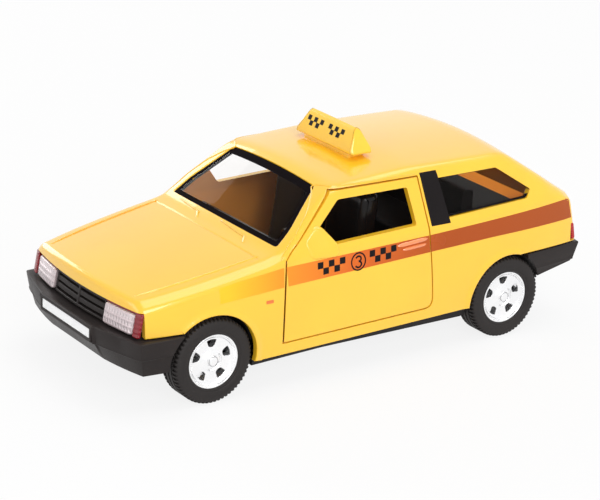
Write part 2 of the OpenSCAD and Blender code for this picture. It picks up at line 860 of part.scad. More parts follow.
module left_door() {
    color(taxi_yellow) {
        difference() {
            intersection() {
                difference() {
                    body_form(0, 0);
                    body_form(wall, overrun);
                }
                left_cut(door_points(-door_gap));
            }
            left_cut(door_window_points);
            translate([hinge_x, hinge_y, 0])
                cylinder(r = shut_r + door_gap, h = roof_z);
        }
        left_mirror();
        left_handle();
    }
}

// A wedge cast on the door at the front corner of its window
module left_mirror() {
    wrap(concat(
        [for (p = mirror_points) side_point(p[0], p[1], wall/2)],
        [for (p = mirror_points)
            let(x = between(mirror_x, p[0], mirror_face_share),
                z = between(mirror_z, p[1], mirror_face_share))
            side_point(x, z, 0) + [0, mirror_out + lean_share*(z - mirror_z), 0]]));
}

module left_handle() {
    x_back = door_belt_rear_x + handle_back;
    for (i = [0:handle_segments - 1])
        hull()
            for (k = [i, i + 1])
                let(x = x_back + handle_l*k/handle_segments,
                    z = raked(handle_z, x),
                    s = (z - waist_z)/(belt_point(x, 0)[1] - waist_z))
                    translate([x, plan_half_w(x) - belt_tuck*s*s - handle_r + handle_out, z])
                        sphere(r = handle_r, $fn = 12);
}

module right_door() {
    mirror([0, 1, 0])
        left_door();
}

module left_door_hinge() {
    color(steel)
        translate([hinge_x, hinge_y, hub_low_z])
            difference() {
                union() {
                    cylinder(r = hub_r, h = hub_h);
                    translate([0, 0, (hub_h - arm_h)/2]) {
                        rotate([0, 0, arm_end_angle])
                            rotate_extrude(angle = arm_angle - arm_end_angle)
                                translate([arm_inner_r, 0])
                                    square([arm_t, arm_h]);
                        rotate([0, 0, arm_angle])
                            translate([0, -arm_t, 0])
                                cube([arm_outer_r - arm_t/2, arm_t, arm_h]);
                    }
                }
                translate([0, 0, -overrun])
                    cylinder(r = hinge_pin_r + running_gap, h = hub_h + 2*overrun);
            }
}

module right_door_hinge() {
    mirror([0, 1, 0])
        left_door_hinge();
}

module left_hinge_pin() {
    color(steel)
        translate([hinge_x, hinge_y, lug_low_z])
            cylinder(r = hinge_pin_r, h = lug_high_z + lug_h - lug_low_z);
}

module right_hinge_pin() {
    mirror([0, 1, 0])
        left_hinge_pin();
}

module left_hinge_bracket() {
    color(trim_black)
        translate([hinge_x, hinge_y, 0])
            difference() {
                union() {
                    for (z = [lug_low_z, lug_high_z])
                        translate([0, 0, z]) {
                            cylinder(r = lug_r, h = lug_h);
                            translate([0, -lug_r, 0])
                                cube([hub_r + bracket_gap + bracket_t, 2*lug_r, lug_h]);
                        }
                    translate([hub_r + bracket_gap, -lug_r, lug_low_z])
                        cube([bracket_t, 2*lug_r, lug_high_z + lug_h - lug_low_z]);
                }
                translate([0, 0, lug_low_z - overrun])
                    cylinder(r = hinge_pin_r, h = lug_high_z + lug_h - lug_low_z + 2*overrun);
            }
}

module right_hinge_bracket() {
    mirror([0, 1, 0])
        left_hinge_bracket();
}

module chassis_base() {
    color(trim_black)
        difference() {
            union() {
                translate([rear_deck_front_x - deck_lap, -spine_half_w, chassis_z])
                    cube([deck_back_x - rear_deck_front_x + 2*deck_lap, 2*spine_half_w, chassis_t]);
                translate([rear_axle_x, -wing_half_w, chassis_z + wing_drop])
                    cube([wheelbase, 2*wing_half_w, chassis_t - wing_drop]);
                translate([rear_axle_x, -flange_half_w, chassis_top_z - lip_t])
                    cube([wheelbase, 2*flange_half_w, lip_t]);
                both_sides() {
                    translate([rear_axle_x, flange_half_w - flange_t, chassis_top_z - lip_t])
                        cube([door_front_x - rear_axle_x, flange_t, lip_t + flange_h]);
                    across(rail_half_w - rail_t/2, rail_t)
                        polygon([for (p = [[front_axle_x, rail_front_h], [front_axle_x, touch_gap],
                            [rear_axle_x, touch_gap], [rear_axle_x, rail_rear_h]])
                            [p[0], raked(sill_z, p[0]) - p[1]]]);
                    for (x = [front_axle_x, rear_axle_x])
                        translate([x - saddle_l/2, saddle_y, chassis_top_z])
                            cube([saddle_l, saddle_t, axle_z + saddle_top - chassis_top_z]);
                    translate([hinge_x, hinge_y, chassis_top_z - lip_t])
                        cylinder(r = hub_r, h = lug_low_z - chassis_top_z + lip_t);
                }
                translate([pad_x - pad_l/2, -pad_w/2, chassis_z - pad_t])
                    cube([pad_l, pad_w, pad_t]);
                translate([deck_back_x, -deck_half_w, bumper_low_z - deck_t])
                    cube([deck_l, 2*deck_half_w, deck_t]);
                translate([rear_deck_x, -rear_deck_half_w, rear_band_z - rear_deck_t])
                    cube([rear_deck_l, 2*rear_deck_half_w, rear_deck_t]);
                translate([rear_deck_front_x - deck_lap, -rear_deck_half_w, chassis_z])
                    cube([deck_lap, 2*rear_deck_half_w, rear_band_z - chassis_z]);
            }
            both_sides()
                for (x = [front_axle_x, rear_axle_x])
                    rotate([-90, 0, 0])
                        translate([x, -axle_z, well_y])
                            cylinder(r = well_r, h = body_w);
            for (x = [front_axle_x, rear_axle_x])
                rotate([-90, 0, 0])
                    translate([x, -axle_z, -body_w/2])
                        cylinder(r = axle_r + running_gap, h = body_w);
            translate([case_back_x + case_step - touch_gap, -case_half_w - touch_gap,
                chassis_z - overrun])
                cube([case_front_x - case_back_x - 2*case_step + 2*touch_gap,
                    2*case_half_w + 2*touch_gap, chassis_t + 2*overrun]);
            for (screw = [[front_screw_x, front_seat_z], [rear_screw_x, rear_seat_z]])
                translate([screw[0], 0, 0]) {
                    cylinder(r = screw_r + screw_clear, h = roof_z);
                    cylinder(r = screw_head_r + screw_clear, h = screw[1]);
                }
        }
}

module chassis_screws() {
    color(steel)
        for (screw = [[front_screw_x, front_seat_z], [rear_screw_x, rear_seat_z]])
            translate([screw[0], 0, screw[1]])
                difference() {
                    union() {
                        cylinder(r = screw_r, h = screw_l);
                        translate([0, 0, -screw_head_h])
                            cylinder(r = screw_head_r, h = screw_head_h);
                    }
                    for (turn = [0, 90])
                        rotate([0, 0, turn])
                            translate([-screw_head_r/2, -screw_slot_w/2, -screw_head_h - overrun])
                                cube([screw_head_r, screw_slot_w, screw_slot_h + overrun]);
                }
}

// Plan of a bumper's outer face, from the middle out to its left end, drawn in by inset
function bumper_half(face_x, flat_y, corner, end_x, side_y, bulge, inset) =
    let(way = face_x > 0 ? 1 : -1)
    concat(
        curve([face_x - way*inset, flat_y],
            [(face_x + corner[0])/2 + way*(bulge - inset), (flat_y + corner[1])/2],
            [corner[0] - way*inset, corner[1] - inset], edge_steps),
        [[end_x, side_y - inset]]);
function both_halves(half) =
    concat([for (i = [len(half) - 1:-1:0]) half[i]], [for (p = half) [p[0], -p[1]]]);
function front_bumper_half(inset) =
    bumper_half(bumper_face_x, bumper_flat_y, [bumper_corner_x, bumper_corner_y], bumper_end_x,
        bumper_side_y, bumper_bulge, inset);
function valance_half(end_x, inset) =
    bumper_half(bumper_face_x - valance_setback, bumper_flat_y,
        [bumper_corner_x - valance_corner_in, bumper_corner_y - valance_corner_in], end_x,
        bumper_side_y - valance_side_in, valance_bulge, inset);
function at_height(points, z) = [for (p = points) [p[0], p[1], z]];
function rear_bumper_half(lean) =
    let(side_in = lean*rear_side_in_share)
    bumper_half(rear_face_x + lean, rear_flat_y, [rear_corner_x + lean, rear_corner_y - side_in],
        rear_end_x, rear_side_y - side_in, rear_bulge, 0);
function rear_hollow() =
    bumper_half(rear_face_x + rear_lean + bumper_t, rear_flat_y - bumper_t,
        [rear_corner_x + rear_lean + bumper_t, rear_corner_y - 2*bumper_t], rear_end_x + overrun,
        rear_side_y - 2*bumper_t, rear_bulge, 0);

module plate_pocket(x, z) {
    translate([x - plate_pocket, -plate_w/2 - plate_room, z - plate_room])
        cube([2*plate_pocket, plate_w + 2*plate_room, plate_h + 2*plate_room]);
}

module front_bumper() {
    band_low_z = bumper_top_z - bumper_band_h;
    band = at_height(both_halves(front_bumper_half(bumper_band_lean)), band_low_z);
    color(trim_black)
        difference() {
            union() {
                difference() {
                    union() {
                        wrap(concat(at_height(both_halves(front_bumper_half(0)), bumper_top_z), band));
                        wrap(concat(band,
                            at_height(both_halves(valance_half(bumper_end_x, 0)), bumper_low_z)));
                    }
                    translate([0, 0, bumper_low_z - overrun])
                        linear_extrude(bumper_top_z - bumper_low_z + 2*overrun)
                            polygon(both_halves(valance_half(bumper_end_x - overrun, bumper_t)));
                }
                translate([bumper_floor_x, -bumper_floor_y, bumper_low_z])
                    cube([bumper_face_x - valance_setback - bumper_t/2 - bumper_floor_x,
                        2*bumper_floor_y, bumper_floor_t]);
            }
            both_sides()
                arch_cut(front_axle_x);
            translate([front_screw_x, 0, 0])
                cylinder(r = screw_r + screw_clear, h = roof_z);
            plate_pocket(bumper_face_x, front_plate_z);
        }
}

module rear_bumper() {
    band = at_height(both_halves(rear_bumper_half(rear_lean)), rear_band_z);
    color(trim_black)
        difference() {
            union() {
                difference() {
                    union() {
                        wrap(concat(at_height(both_halves(rear_bumper_half(0)), rear_bumper_top_z), band));
                        wrap(concat(band,
                            at_height(both_halves(rear_bumper_half(rear_low_lean)), rear_bumper_low_z)));
                    }
                    translate([0, 0, rear_bumper_low_z - overrun])
                        linear_extrude(rear_bumper_top_z - rear_bumper_low_z + 2*overrun)
                            polygon(both_halves(rear_hollow()));
                    across(0, 2*body_w)
                        polygon([[rear_end_x, rear_bumper_low_z], [rear_end_x, 0],
                            [rear_face_x - overrun, 0],
                            [rear_face_x - overrun, rear_bumper_low_z + rear_bumper_rise]]);
                }
                translate([rear_face_x + bumper_t, -rear_deck_half_w, rear_band_z])
                    cube([rear_floor_x - rear_face_x - bumper_t, 2*rear_deck_half_w, bumper_floor_t]);
            }
            both_sides()
                arch_cut(rear_axle_x);
            translate([rear_screw_x, 0, 0])
                cylinder(r = screw_r + screw_clear, h = roof_z);
            plate_pocket(rear_face_x, rear_plate_z);
        }
}

module front_number_plate() {
    color(plate_white)
        translate([bumper_face_x - plate_pocket, -plate_w/2, front_plate_z])
            cube([plate_t, plate_w, plate_h]);
}

module rear_number_plate() {
    color(plate_white)
        translate([rear_face_x + plate_pocket - plate_t, -plate_w/2, rear_plate_z])
            cube([plate_t, plate_w, plate_h]);
}

// A block behind the nose or tail face, between two widths and two heights
function face_x(end_x, y, z) = placed(end_x, y, z)[0];
module face_block(end_x, y0, y1, z0, z1, sink, depth) {
    way = end_x > 0 ? 1 : -1;
    skin([for (i = [0:lamp_columns])
        let(y = between(y0, y1, i/lamp_columns),
            low_x = face_x(end_x, y, z0) - way*sink,
            high_x = face_x(end_x, y, z1) - way*sink,
            front = [[low_x, y, z0], [high_x, y, z1]],
            back = [[high_x - way*depth, y, z1], [low_x - way*depth, y, z0]])
        way > 0 ? concat(front, back) : [back[1], back[0], front[1], front[0]]]);
}

module grille() {
    slot_pitch = (lamp_high_z - lamp_low_z)/grille_slots;
    color(trim_black) {
        difference() {
            face_block(nose_x, -grille_half_w, grille_half_w, lamp_low_z, lamp_high_z,
                grille_sink, lamp_sink + lamp_depth - grille_sink + carrier_t*carrier_lap_share);
            for (i = [0:grille_slots - 1])
                face_block(nose_x, -grille_half_w + lamp_gap, grille_half_w - lamp_gap,
                    lamp_low_z + slot_pitch*(i + (1 - slot_share)/2),
                    lamp_low_z + slot_pitch*(i + (1 + slot_share)/2),
                    grille_sink - overrun, slot_depth + overrun);
        }
        face_block(nose_x, -headlamp_end_y, headlamp_end_y, lamp_low_z + lamp_gap,
            lamp_high_z - lamp_gap, lamp_sink + lamp_depth, carrier_t);
    }
}

module left_headlamp() {
    color(lamp_clear)
        face_block(nose_x, grille_half_w + lamp_gap, headlamp_end_y, lamp_low_z, lamp_high_z,
            lamp_sink, lamp_depth);
}

module right_headlamp() {
    mirror([0, 1, 0])
        left_headlamp();
}

module left_indicator() {
    color(lamp_amber)
        face_block(nose_x, headlamp_end_y + lamp_gap, indicator_end_y, lamp_low_z, lamp_high_z,
            indicator_sink, indicator_depth);
}

module right_indicator() {
    mirror([0, 1, 0])
        left_indicator();
}

module left_tail_lamp() {
    color(lamp_red)
        face_block(tail_x, tail_lamp_in_y + lamp_gap, tail_lamp_end_y, tail_lamp_low_z + lamp_gap,
            tail_lamp_high_z - lamp_gap, tail_lamp_sink, tail_lamp_depth);
}

module right_tail_lamp() {
    mirror([0, 1, 0])
        left_tail_lamp();
}

module interior_tub() {
    color(cabin_black) {
        translate([riser_x, -tub_half_w, chassis_top_z])
            cube([tub_front_x - riser_x, 2*tub_half_w, tub_t]);
        translate([tub_front_x - tub_t, -firewall_half_w, chassis_top_z])
            cube([tub_t, 2*firewall_half_w, firewall_top_z - chassis_top_z]);
        translate([riser_x, -platform_half_w, chassis_top_z])
            cube([tub_t, 2*platform_half_w, platform_z + tub_t - chassis_top_z]);
        translate([shelf_back_x, -platform_half_w, platform_z])
            cube([riser_x + tub_t - shelf_back_x, 2*platform_half_w, tub_t]);
        translate([shelf_back_x, -shelf_half_w, platform_z])
            cube([tub_t, 2*shelf_half_w, shelf_z + tub_t - platform_z]);
        translate([shelf_back_x, -shelf_half_w, shelf_z])
            cube([bench_back_x - bench_back_t - shelf_back_x, 2*shelf_half_w, tub_t]);
    }
}

// A shape drawn in side view, as wide as given and centred on y
module across(y, width) {
    translate([0, y + width/2, 0])
        rotate([90, 0, 0])
            linear_extrude(width)
                children();
}

module front_seat(y) {
    base_z = chassis_top_z + tub_t;
    back_top_z = base_z + seat_back_h;
    color(cabin_black)
        across(y, seat_w)
            polygon(concat(
                [[seat_back_x + seat_rake, base_z], [seat_back_x + seat_cushion_l, base_z]],
                rounded([seat_back_x + seat_cushion_l, base_z],
                    [seat_back_x + seat_cushion_l, base_z + seat_base_h],
                    [seat_back_x + seat_rake, base_z + seat_base_h], seat_rake, edge_steps),
                [[seat_back_x + seat_back_t + seat_rake, base_z + seat_base_h]],
                rounded([seat_back_x + seat_back_t + seat_rake, base_z],
                    [seat_back_x + seat_back_t, back_top_z], [seat_back_x, back_top_z],
                    seat_back_t/4, edge_steps),
                rounded([seat_back_x + seat_back_t, back_top_z], [seat_back_x, back_top_z],
                    [seat_back_x + seat_rake, base_z], seat_back_t/4, edge_steps)));
}

module left_front_seat() {
    front_seat(seat_y);
}

module right_front_seat() {
    front_seat(-seat_y);
}

module rear_bench() {
    base_z = platform_z + tub_t;
    bench_front_x = bench_back_x + bench_l;
    color(cabin_black)
        across(0, 2*bench_half_w)
            polygon(concat(
                [[bench_back_x - bench_back_t, base_z], [bench_front_x, base_z]],
                rounded([bench_front_x, base_z], [bench_front_x, base_z + bench_h],
                    [bench_back_x, base_z + bench_h], bench_h/3, edge_steps),
                [[bench_back_x, base_z + bench_h]],
                rounded([bench_back_x, base_z], [bench_back_x - bench_back_t/4, base_z + bench_back_h],
                    [bench_back_x - bench_back_t, base_z + bench_back_h], bench_back_t/4, edge_steps),
                rounded([bench_back_x, base_z + bench_back_h],
                    [bench_back_x - bench_back_t, base_z + bench_back_h],
                    [bench_back_x - bench_back_t, base_z], bench_back_t/4, edge_steps)));
}

module dashboard() {
    depth = dash_front_x - dash_back_x;
    color(cabin_black) {
        across(0, 2*dash_half_w)
            polygon(concat(
                [[dash_back_x + depth/4, dash_wide_z], [dash_front_x, dash_wide_z],
                    [dash_front_x, dash_top_z - depth/8]],
                rounded([dash_front_x, dash_top_z], [dash_back_x, dash_top_z],
                    [dash_back_x + depth/4, dash_wide_z], depth/6, edge_steps)));
        across(0, 2*dash_low_half_w)
            polygon([[dash_back_x + depth/2, dash_low_z], [tub_front_x - tub_t, dash_low_z],
                [tub_front_x - tub_t, firewall_top_z], [dash_front_x, dash_wide_z],
                [dash_back_x + depth/4, dash_wide_z]]);
    }
}

module steering_wheel() {
    color(cabin_black)
        translate([dash_back_x, seat_y, wheel_z])
            rotate([0, -wheel_tilt, 0]) {
                translate([0, 0, -column_root])
                    cylinder(r = column_r, h = column_root + wheel_reach);
                translate([0, 0, wheel_reach]) {
                    rotate_extrude()
                        translate([wheel_rim_r, 0])
                            circle(r = wheel_tube_r);
                    translate([0, 0, -wheel_tube_r])
                        cylinder(r = wheel_hub_r, h = 2*wheel_tube_r);
                    for (turn = [90, 210, 330])
                        rotate([0, 0, turn])
                            translate([0, -wheel_tube_r, -wheel_tube_r/2])
                                cube([wheel_rim_r, 2*wheel_tube_r, wheel_tube_r]);
                }
            }
}

module roof_sign_foot() {
    color(trim_black) {
        translate([sign_x - sign_foot_l/2, -sign_foot_w/2, sign_seat_z])
            cube([sign_foot_l, sign_foot_w, sign_foot_h]);
        for (y = [-sign_peg_y, sign_peg_y])
            translate([sign_x, y, sign_seat_z - wall])
                cylinder(r = sign_peg_r, h = wall + sign_foot_h/2);
    }
}

module roof_sign() {
    low_z = sign_seat_z + sign_foot_h;
    top_z = low_z + sign_h;
    color(sign_yellow)
        intersection() {
            across(0, sign_w + 2*overrun)
                polygon(concat(
                    [[sign_x - sign_l/2, low_z + sign_low_h], [sign_x - sign_l/2, low_z],
                        [sign_x + sign_l/2, low_z], [sign_x + sign_l/2, low_z + sign_low_h]],
                    rounded([sign_x + sign_l/2, low_z + sign_low_h], [sign_x, top_z + sign_top_r],
                        [sign_x - sign_l/2, low_z + sign_low_h], 2*sign_top_r, sign_top_steps)));
            rotate([90, 0, 90])
                translate([0, 0, sign_x - sign_l])
                    linear_extrude(2*sign_l)
                        polygon([[-sign_w/2, low_z], [sign_w/2, low_z],
                            [sign_w/2 - sign_end_lean, low_z + sign_h],
                            [sign_end_lean - sign_w/2, low_z + sign_h]]);
        }
}

// A round piece about an axle, drawn outwards from y along +Y
module about_axle(x, y) {
    translate([x, y, axle_z])
        rotate([-90, 0, 0])
            children();
}

module axle(x) {
    about_axle(x, -wheel_face_y + rim_sink)
        cylinder(r = axle_r, h = 2*(wheel_face_y - rim_sink));
}

module front_axle() {
    color(steel)
        axle(front_axle_x);
}

module rear_axle() {
    color(steel)
        axle(rear_axle_x);
}

module left_rim(x) {
    outer_y = wheel_face_y - rim_sink;
    color(steel)
        about_axle(x, outer_y - rim_w)
            difference() {
                rotate_extrude()
                    polygon([
                        [axle_r, rim_w - rim_disc_sink - rim_disc_t],
                        [rim_r - rim_lip_t, rim_w - rim_disc_sink - rim_disc_t],
                        [rim_r - rim_lip_t, 0], [rim_r, 0], [rim_r, rim_w],
                        [rim_r - rim_lip_t, rim_w],
                        [rim_r - 2*rim_lip_t, rim_w - rim_disc_sink],
                        [rim_hub_r + rim_lip_t, rim_w - rim_disc_sink],
                        [rim_hub_r, rim_w - rim_disc_sink + rim_hub_out],
                        [axle_r, rim_w - rim_disc_sink + rim_hub_out]
                    ]);
                for (i = [0:rim_holes - 1])
                    rotate([0, 0, 360*i/rim_holes])
                        translate([rim_r*rim_hole_share, 0, -overrun])
                            cylinder(d = rim_hole_d, h = rim_w + 2*overrun);
            }
}

module left_tyre(x) {
    tyre_r = tyre_d/2;
    color(tyre_black)
        about_axle(x, wheel_face_y - tyre_w)
            rotate_extrude()
                difference() {
                    polygon(concat(
                        [[rim_r, 0], [tyre_r - tyre_shoulder - tyre_bulge, 0]],
                        rounded([rim_r, 0], [tyre_r, 0], [tyre_r, tyre_w], tyre_shoulder, edge_steps),
                        rounded([tyre_r, 0], [tyre_r, tyre_w], [rim_r, tyre_w], tyre_shoulder, edge_steps),
                        [[rim_r, tyre_w]]));
                    for (share = tread_groove_shares)
                        translate([tyre_r - tread_depth, tyre_w/2 + share*tyre_w - tread_groove_w/2])
                            square([tread_depth + overrun, tread_groove_w]);
                }
}

module front_left_rim() {
    left_rim(front_axle_x);
}

module front_right_rim() {
    mirror([0, 1, 0])
        left_rim(front_axle_x);
}

module rear_left_rim() {
    left_rim(rear_axle_x);
}

module rear_right_rim() {
    mirror([0, 1, 0])
        left_rim(rear_axle_x);
}

module front_left_tyre() {
    left_tyre(front_axle_x);
}

module front_right_tyre() {
    mirror([0, 1, 0])
        left_tyre(front_axle_x);
}

module rear_left_tyre() {
    left_tyre(rear_axle_x);
}

module rear_right_tyre() {
    mirror([0, 1, 0])
        left_tyre(rear_axle_x);
}

// Involute gear outline, with a tooth centred on the given angle
function involute(a) = tan(a) - a*PI/180;
function flank_angle(teeth, r) =
    let(pitch_r = gear_module*teeth/2,
        base_r = pitch_r*cos(pressure_angle),
        a = r > base_r ? acos(base_r/r) : 0)
    90/teeth - backlash/pitch_r*90/PI + (involute(pressure_angle) - involute(a))*180/PI;
function polar(r, a) = [r*cos(a), r*sin(a)];
function gear_points(teeth, start) =
    let(pitch_r = gear_module*teeth/2,
        root_r = pitch_r - gear_module*dedendum_share,
        tip_r = pitch_r + gear_module*addendum_share,
        radii = [for (i = [0:flank_steps]) between(root_r, tip_r, i/flank_steps)])
    [for (t = [0:teeth - 1]) let(middle = start + 360*t/teeth)
        each concat(
            [for (r = radii) polar(r, middle - flank_angle(teeth, r))],
            [for (i = [flank_steps:-1:0]) polar(radii[i], middle + flank_angle(teeth, radii[i]))])];

// A gear standing on its axle, its outline seen from the left side, with +X to the right
module gear(x, z, y, width, teeth, start) {
    translate([x, y + width, z])
        rotate([90, 0, 0])
            linear_extrude(width)
                polygon(gear_points(teeth, start));
}

module bored(x, z, r) {
    difference() {
        children();
        translate([x, body_w/2, z])
            rotate([90, 0, 0])
                cylinder(r = r, h = body_w);
    }
}

module axle_gear() {
    color(gear_white)
        bored(rear_axle_x, axle_z, axle_r)
            gear(rear_axle_x, axle_z, gear_left_y, gear_t, axle_teeth, idler_angle);
}

module idler_gear() {
    color(gear_white)
        bored(idler_x, idler_z, idler_shaft_r + running_gap)
            union() {
                gear(idler_x, idler_z, gear_left_y, gear_t, idler_teeth, idler_phase);
                gear(idler_x, idler_z, gear_right_y, gear_left_y - gear_right_y, pinion_teeth,
                    pinion_phase);
            }
}

module spring_gear() {
    color(gear_white) {
        gear(spring_x, spring_z, gear_right_y, gear_t, spring_teeth, spring_phase);
        translate([spring_x, case_half_w, spring_z])
            rotate([90, 0, 0])
                cylinder(r = arbor_r, h = 2*case_half_w);
    }
}

module idler_shaft() {
    color(steel)
        translate([idler_x, case_half_w, idler_z])
            rotate([90, 0, 0])
                cylinder(r = idler_shaft_r, h = 2*case_half_w);
}

function spiral_point(step, thickness) =
    let(share = step/(mainspring_steps*mainspring_turns))
    polar(between(mainspring_in_r, mainspring_out_r, share) + thickness, 360*step/mainspring_steps);

module mainspring() {
    steps = mainspring_steps*mainspring_turns;
    color(spring_steel)
        translate([spring_x, gear_right_y - gear_gap, spring_z])
            rotate([90, 0, 0])
                linear_extrude(mainspring_w)
                    polygon(concat(
                        [for (i = [0:steps]) spiral_point(i, mainspring_t)],
                        [for (i = [steps:-1:0]) spiral_point(i, 0)]));
}

module case_half() {
    case_l = case_front_x - case_back_x;
    color(motor_blue)
        bored(rear_axle_x, axle_z, axle_r + running_gap)
            bored(idler_x, idler_z, idler_shaft_r)
                bored(spring_x, spring_z, arbor_r + running_gap)
                    difference() {
                        union() {
                            translate([case_back_x, 0, chassis_top_z])
                                cube([case_l, case_half_w, case_top_z - chassis_top_z]);
                            translate([case_back_x + case_step, 0, case_low_z])
                                cube([case_l - 2*case_step, case_half_w, chassis_top_z - case_low_z]);
                        }
                        translate([case_back_x + case_wall, -overrun, chassis_top_z + case_wall])
                            cube([case_l - 2*case_wall, case_half_w - case_wall + overrun,
                                case_top_z - chassis_top_z - 2*case_wall]);
                        translate([case_back_x + case_step + case_wall, -overrun,
                            case_low_z + case_wall])
                            cube([case_l - 2*case_step - 2*case_wall,
                                case_half_w - case_wall + overrun, chassis_top_z - case_low_z]);
                    }
}

module motor_case_left() {
    case_half();
}

module motor_case_right() {
    mirror([0, 1, 0])
        case_half();
}

body_shell();
window_glazing();
left_door();
right_door();
left_door_hinge();
right_door_hinge();
left_hinge_pin();
right_hinge_pin();
left_hinge_bracket();
right_hinge_bracket();
chassis_base();
chassis_screws();
front_bumper();
rear_bumper();
grille();
left_headlamp();
right_headlamp();
left_indicator();
right_indicator();
left_tail_lamp();
right_tail_lamp();
front_number_plate();
rear_number_plate();
interior_tub();
left_front_seat();
right_front_seat();
rear_bench();
dashboard();
steering_wheel();
roof_sign();
roof_sign_foot();
front_axle();
rear_axle();
front_left_rim();
front_right_rim();
rear_left_rim();
rear_right_rim();
front_left_tyre();
front_right_tyre();
rear_left_tyre();
rear_right_tyre();
motor_case_left();
motor_case_right();
mainspring();
idler_shaft();
axle_gear();
idler_gear();
spring_gear();
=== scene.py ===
import math
import bpy
import bmesh
import numpy as np
from mathutils import Matrix, Vector


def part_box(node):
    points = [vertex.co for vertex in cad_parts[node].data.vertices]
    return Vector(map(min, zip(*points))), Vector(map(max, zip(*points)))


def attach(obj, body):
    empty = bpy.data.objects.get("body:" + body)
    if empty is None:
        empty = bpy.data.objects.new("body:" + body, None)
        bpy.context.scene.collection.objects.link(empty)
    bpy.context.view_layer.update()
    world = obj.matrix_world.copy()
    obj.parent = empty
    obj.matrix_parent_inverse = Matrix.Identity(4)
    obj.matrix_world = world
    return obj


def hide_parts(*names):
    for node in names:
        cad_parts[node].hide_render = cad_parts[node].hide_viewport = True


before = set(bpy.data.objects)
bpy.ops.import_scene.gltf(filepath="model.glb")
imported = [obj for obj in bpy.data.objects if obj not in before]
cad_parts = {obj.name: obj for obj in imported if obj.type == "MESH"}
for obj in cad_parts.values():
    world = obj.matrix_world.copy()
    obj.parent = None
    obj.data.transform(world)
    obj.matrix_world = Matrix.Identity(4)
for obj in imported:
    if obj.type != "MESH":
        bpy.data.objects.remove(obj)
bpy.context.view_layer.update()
MM = 0.001

# Body form, the same values and functions as the part's source, in mm
FRONT_X, REAR_X, AXLE_Z, HALF_L, BODY_W = 35.5, -34.5, 8.45, 55.0, 45.2
WALL, OVER = 1.1, 1.0
SILL_Z, WAIST_Z, BELT_Z = 6.5, 15.5, 25.4
NOSE_X, NOSE_Z, TAIL_X, TAIL_Z = 49.9, 21.6, -52.0, 26.9
NOSE_BOW, TAIL_BOW = 2.2, 1.2
COWL_X, COWL_Z, TOP_X, TOP_Z = 20.8, 26.6, 7.6, 37.0
ROOF_REAR_X, ROOF_REAR_Z, PEAK_X, ROOF_Z = -34.9, 37.8, -11.525, 38.1
RAKE, BLEND, MIDDLE_X, BODY_L = 0.024, 1.8, -1.05, 101.9
SILL_TUCK, BELT_TUCK = 0.5, 0.6
SHOULDER_H, SHOULDER_IN, SHOULDER_BLEND, LEAN = 1.2, 1.3, 3.0, 0.37
ROOF_LINE = np.array([[TAIL_X, TAIL_Z], [ROOF_REAR_X, ROOF_REAR_Z], [PEAK_X, ROOF_Z],
                      [TOP_X, TOP_Z], [COWL_X, COWL_Z], [NOSE_X, NOSE_Z]])
CROWN_LINE = np.array([[TAIL_X, 0.7], [ROOF_REAR_X, 1.2], [TOP_X, 1.2], [COWL_X, 0.7], [NOSE_X, 0.7]])
TAPS = np.linspace(-1.5, 1.5, 13)
TAP_WEIGHTS = (1 - np.abs(TAPS)/1.75)/np.sum(1 - np.abs(TAPS)/1.75)
GROOVE_X, GROOVE_W, GROOVE_D = 24.1, 0.13, 0.22
DOOR_FRONT_X, DOOR_GAP = 20.5, 0.3
HINGE = (24.4, 20.03126)
ARCH_R, DOOR_SHOULDER_Z, DOOR_LOW_Z = 9.3, 25.3, 8.7
# Cutters: how far out they reach, and the openings for the bumpers and lamps
FAR, SIDE_CUT = 60, (12, 45)
FRONT_BUMPER_Z, REAR_BUMPER_Z = 15.2, 17.3
LAMP_LOW_Z, LAMP_HIGH_Z, LAMP_HALF_W = 14.2, 19.95, 18.4
TAIL_LAMP_Y, TAIL_LAMP_Z = 11.5, (17.4, 21.1)


def limited(t):
    return min(1.0, max(0.0, t))


def smooth(a, b, t):
    s = limited((t - a)/(b - a))
    return s*s*(3 - 2*s)


def lookup(x, table):
    return float(np.interp(x, table[:, 0], table[:, 1]))


def raked(z, x):
    return z + RAKE*(FRONT_X - x)


def plan_half_w(x):
    return BODY_W/2 - (4.0 if x > 0 else 2.7)*(abs(x)/HALF_L)**5


def roof_edge_z(x):
    return float(np.dot(TAP_WEIGHTS, np.interp(x + BLEND*TAPS, ROOF_LINE[:, 0], ROOF_LINE[:, 1])))


def bow_at(x):
    return NOSE_BOW*x/NOSE_X if x > 0 else -TAIL_BOW*x/TAIL_X


def lean_at(x, z):
    if x > FRONT_X:
        return 0.18*max(0, NOSE_Z - z)*limited((x - FRONT_X)/14.4)
    return -0.19*max(0, TAIL_Z - z)*limited((REAR_X - x)/17.5)


def placed(x, y, z):
    return np.array([x + bow_at(x)*(1 - (y/plan_half_w(x))**2) + lean_at(x, z), y, z])


def bezier(p, b, q, n):
    t = np.linspace(0, 1, n)[:, None]
    return (1 - t)**2*p + 2*t*(1 - t)*b + t*t*q


def toward(a, b, d):
    v = b - a
    return a + v*min(d/max(np.linalg.norm(v), 1e-6), 0.45)


def rounded(a, b, c, r, n):
    a, b, c = (np.array(p, float) for p in (a, b, c))
    return bezier(toward(b, a, r), b, toward(b, c, r), n)


def belt_point(x, inset):
    z = min(raked(BELT_Z, x), roof_edge_z(x) - SHOULDER_H)
    return np.array([plan_half_w(x) - inset - BELT_TUCK, z - inset*0.5])


def house(rise):
    return limited((rise - SHOULDER_H)/SHOULDER_BLEND)


def edge_point(x, inset):
    b = belt_point(x, inset)
    z = roof_edge_z(x) - inset
    rise = z - b[1]
    return np.array([b[0] - SHOULDER_IN*(1 - house(rise)) - LEAN*rise, z])


def inset_x(x, inset):
    return MIDDLE_X + (x - MIDDLE_X)*(BODY_L - 2*inset)/BODY_L


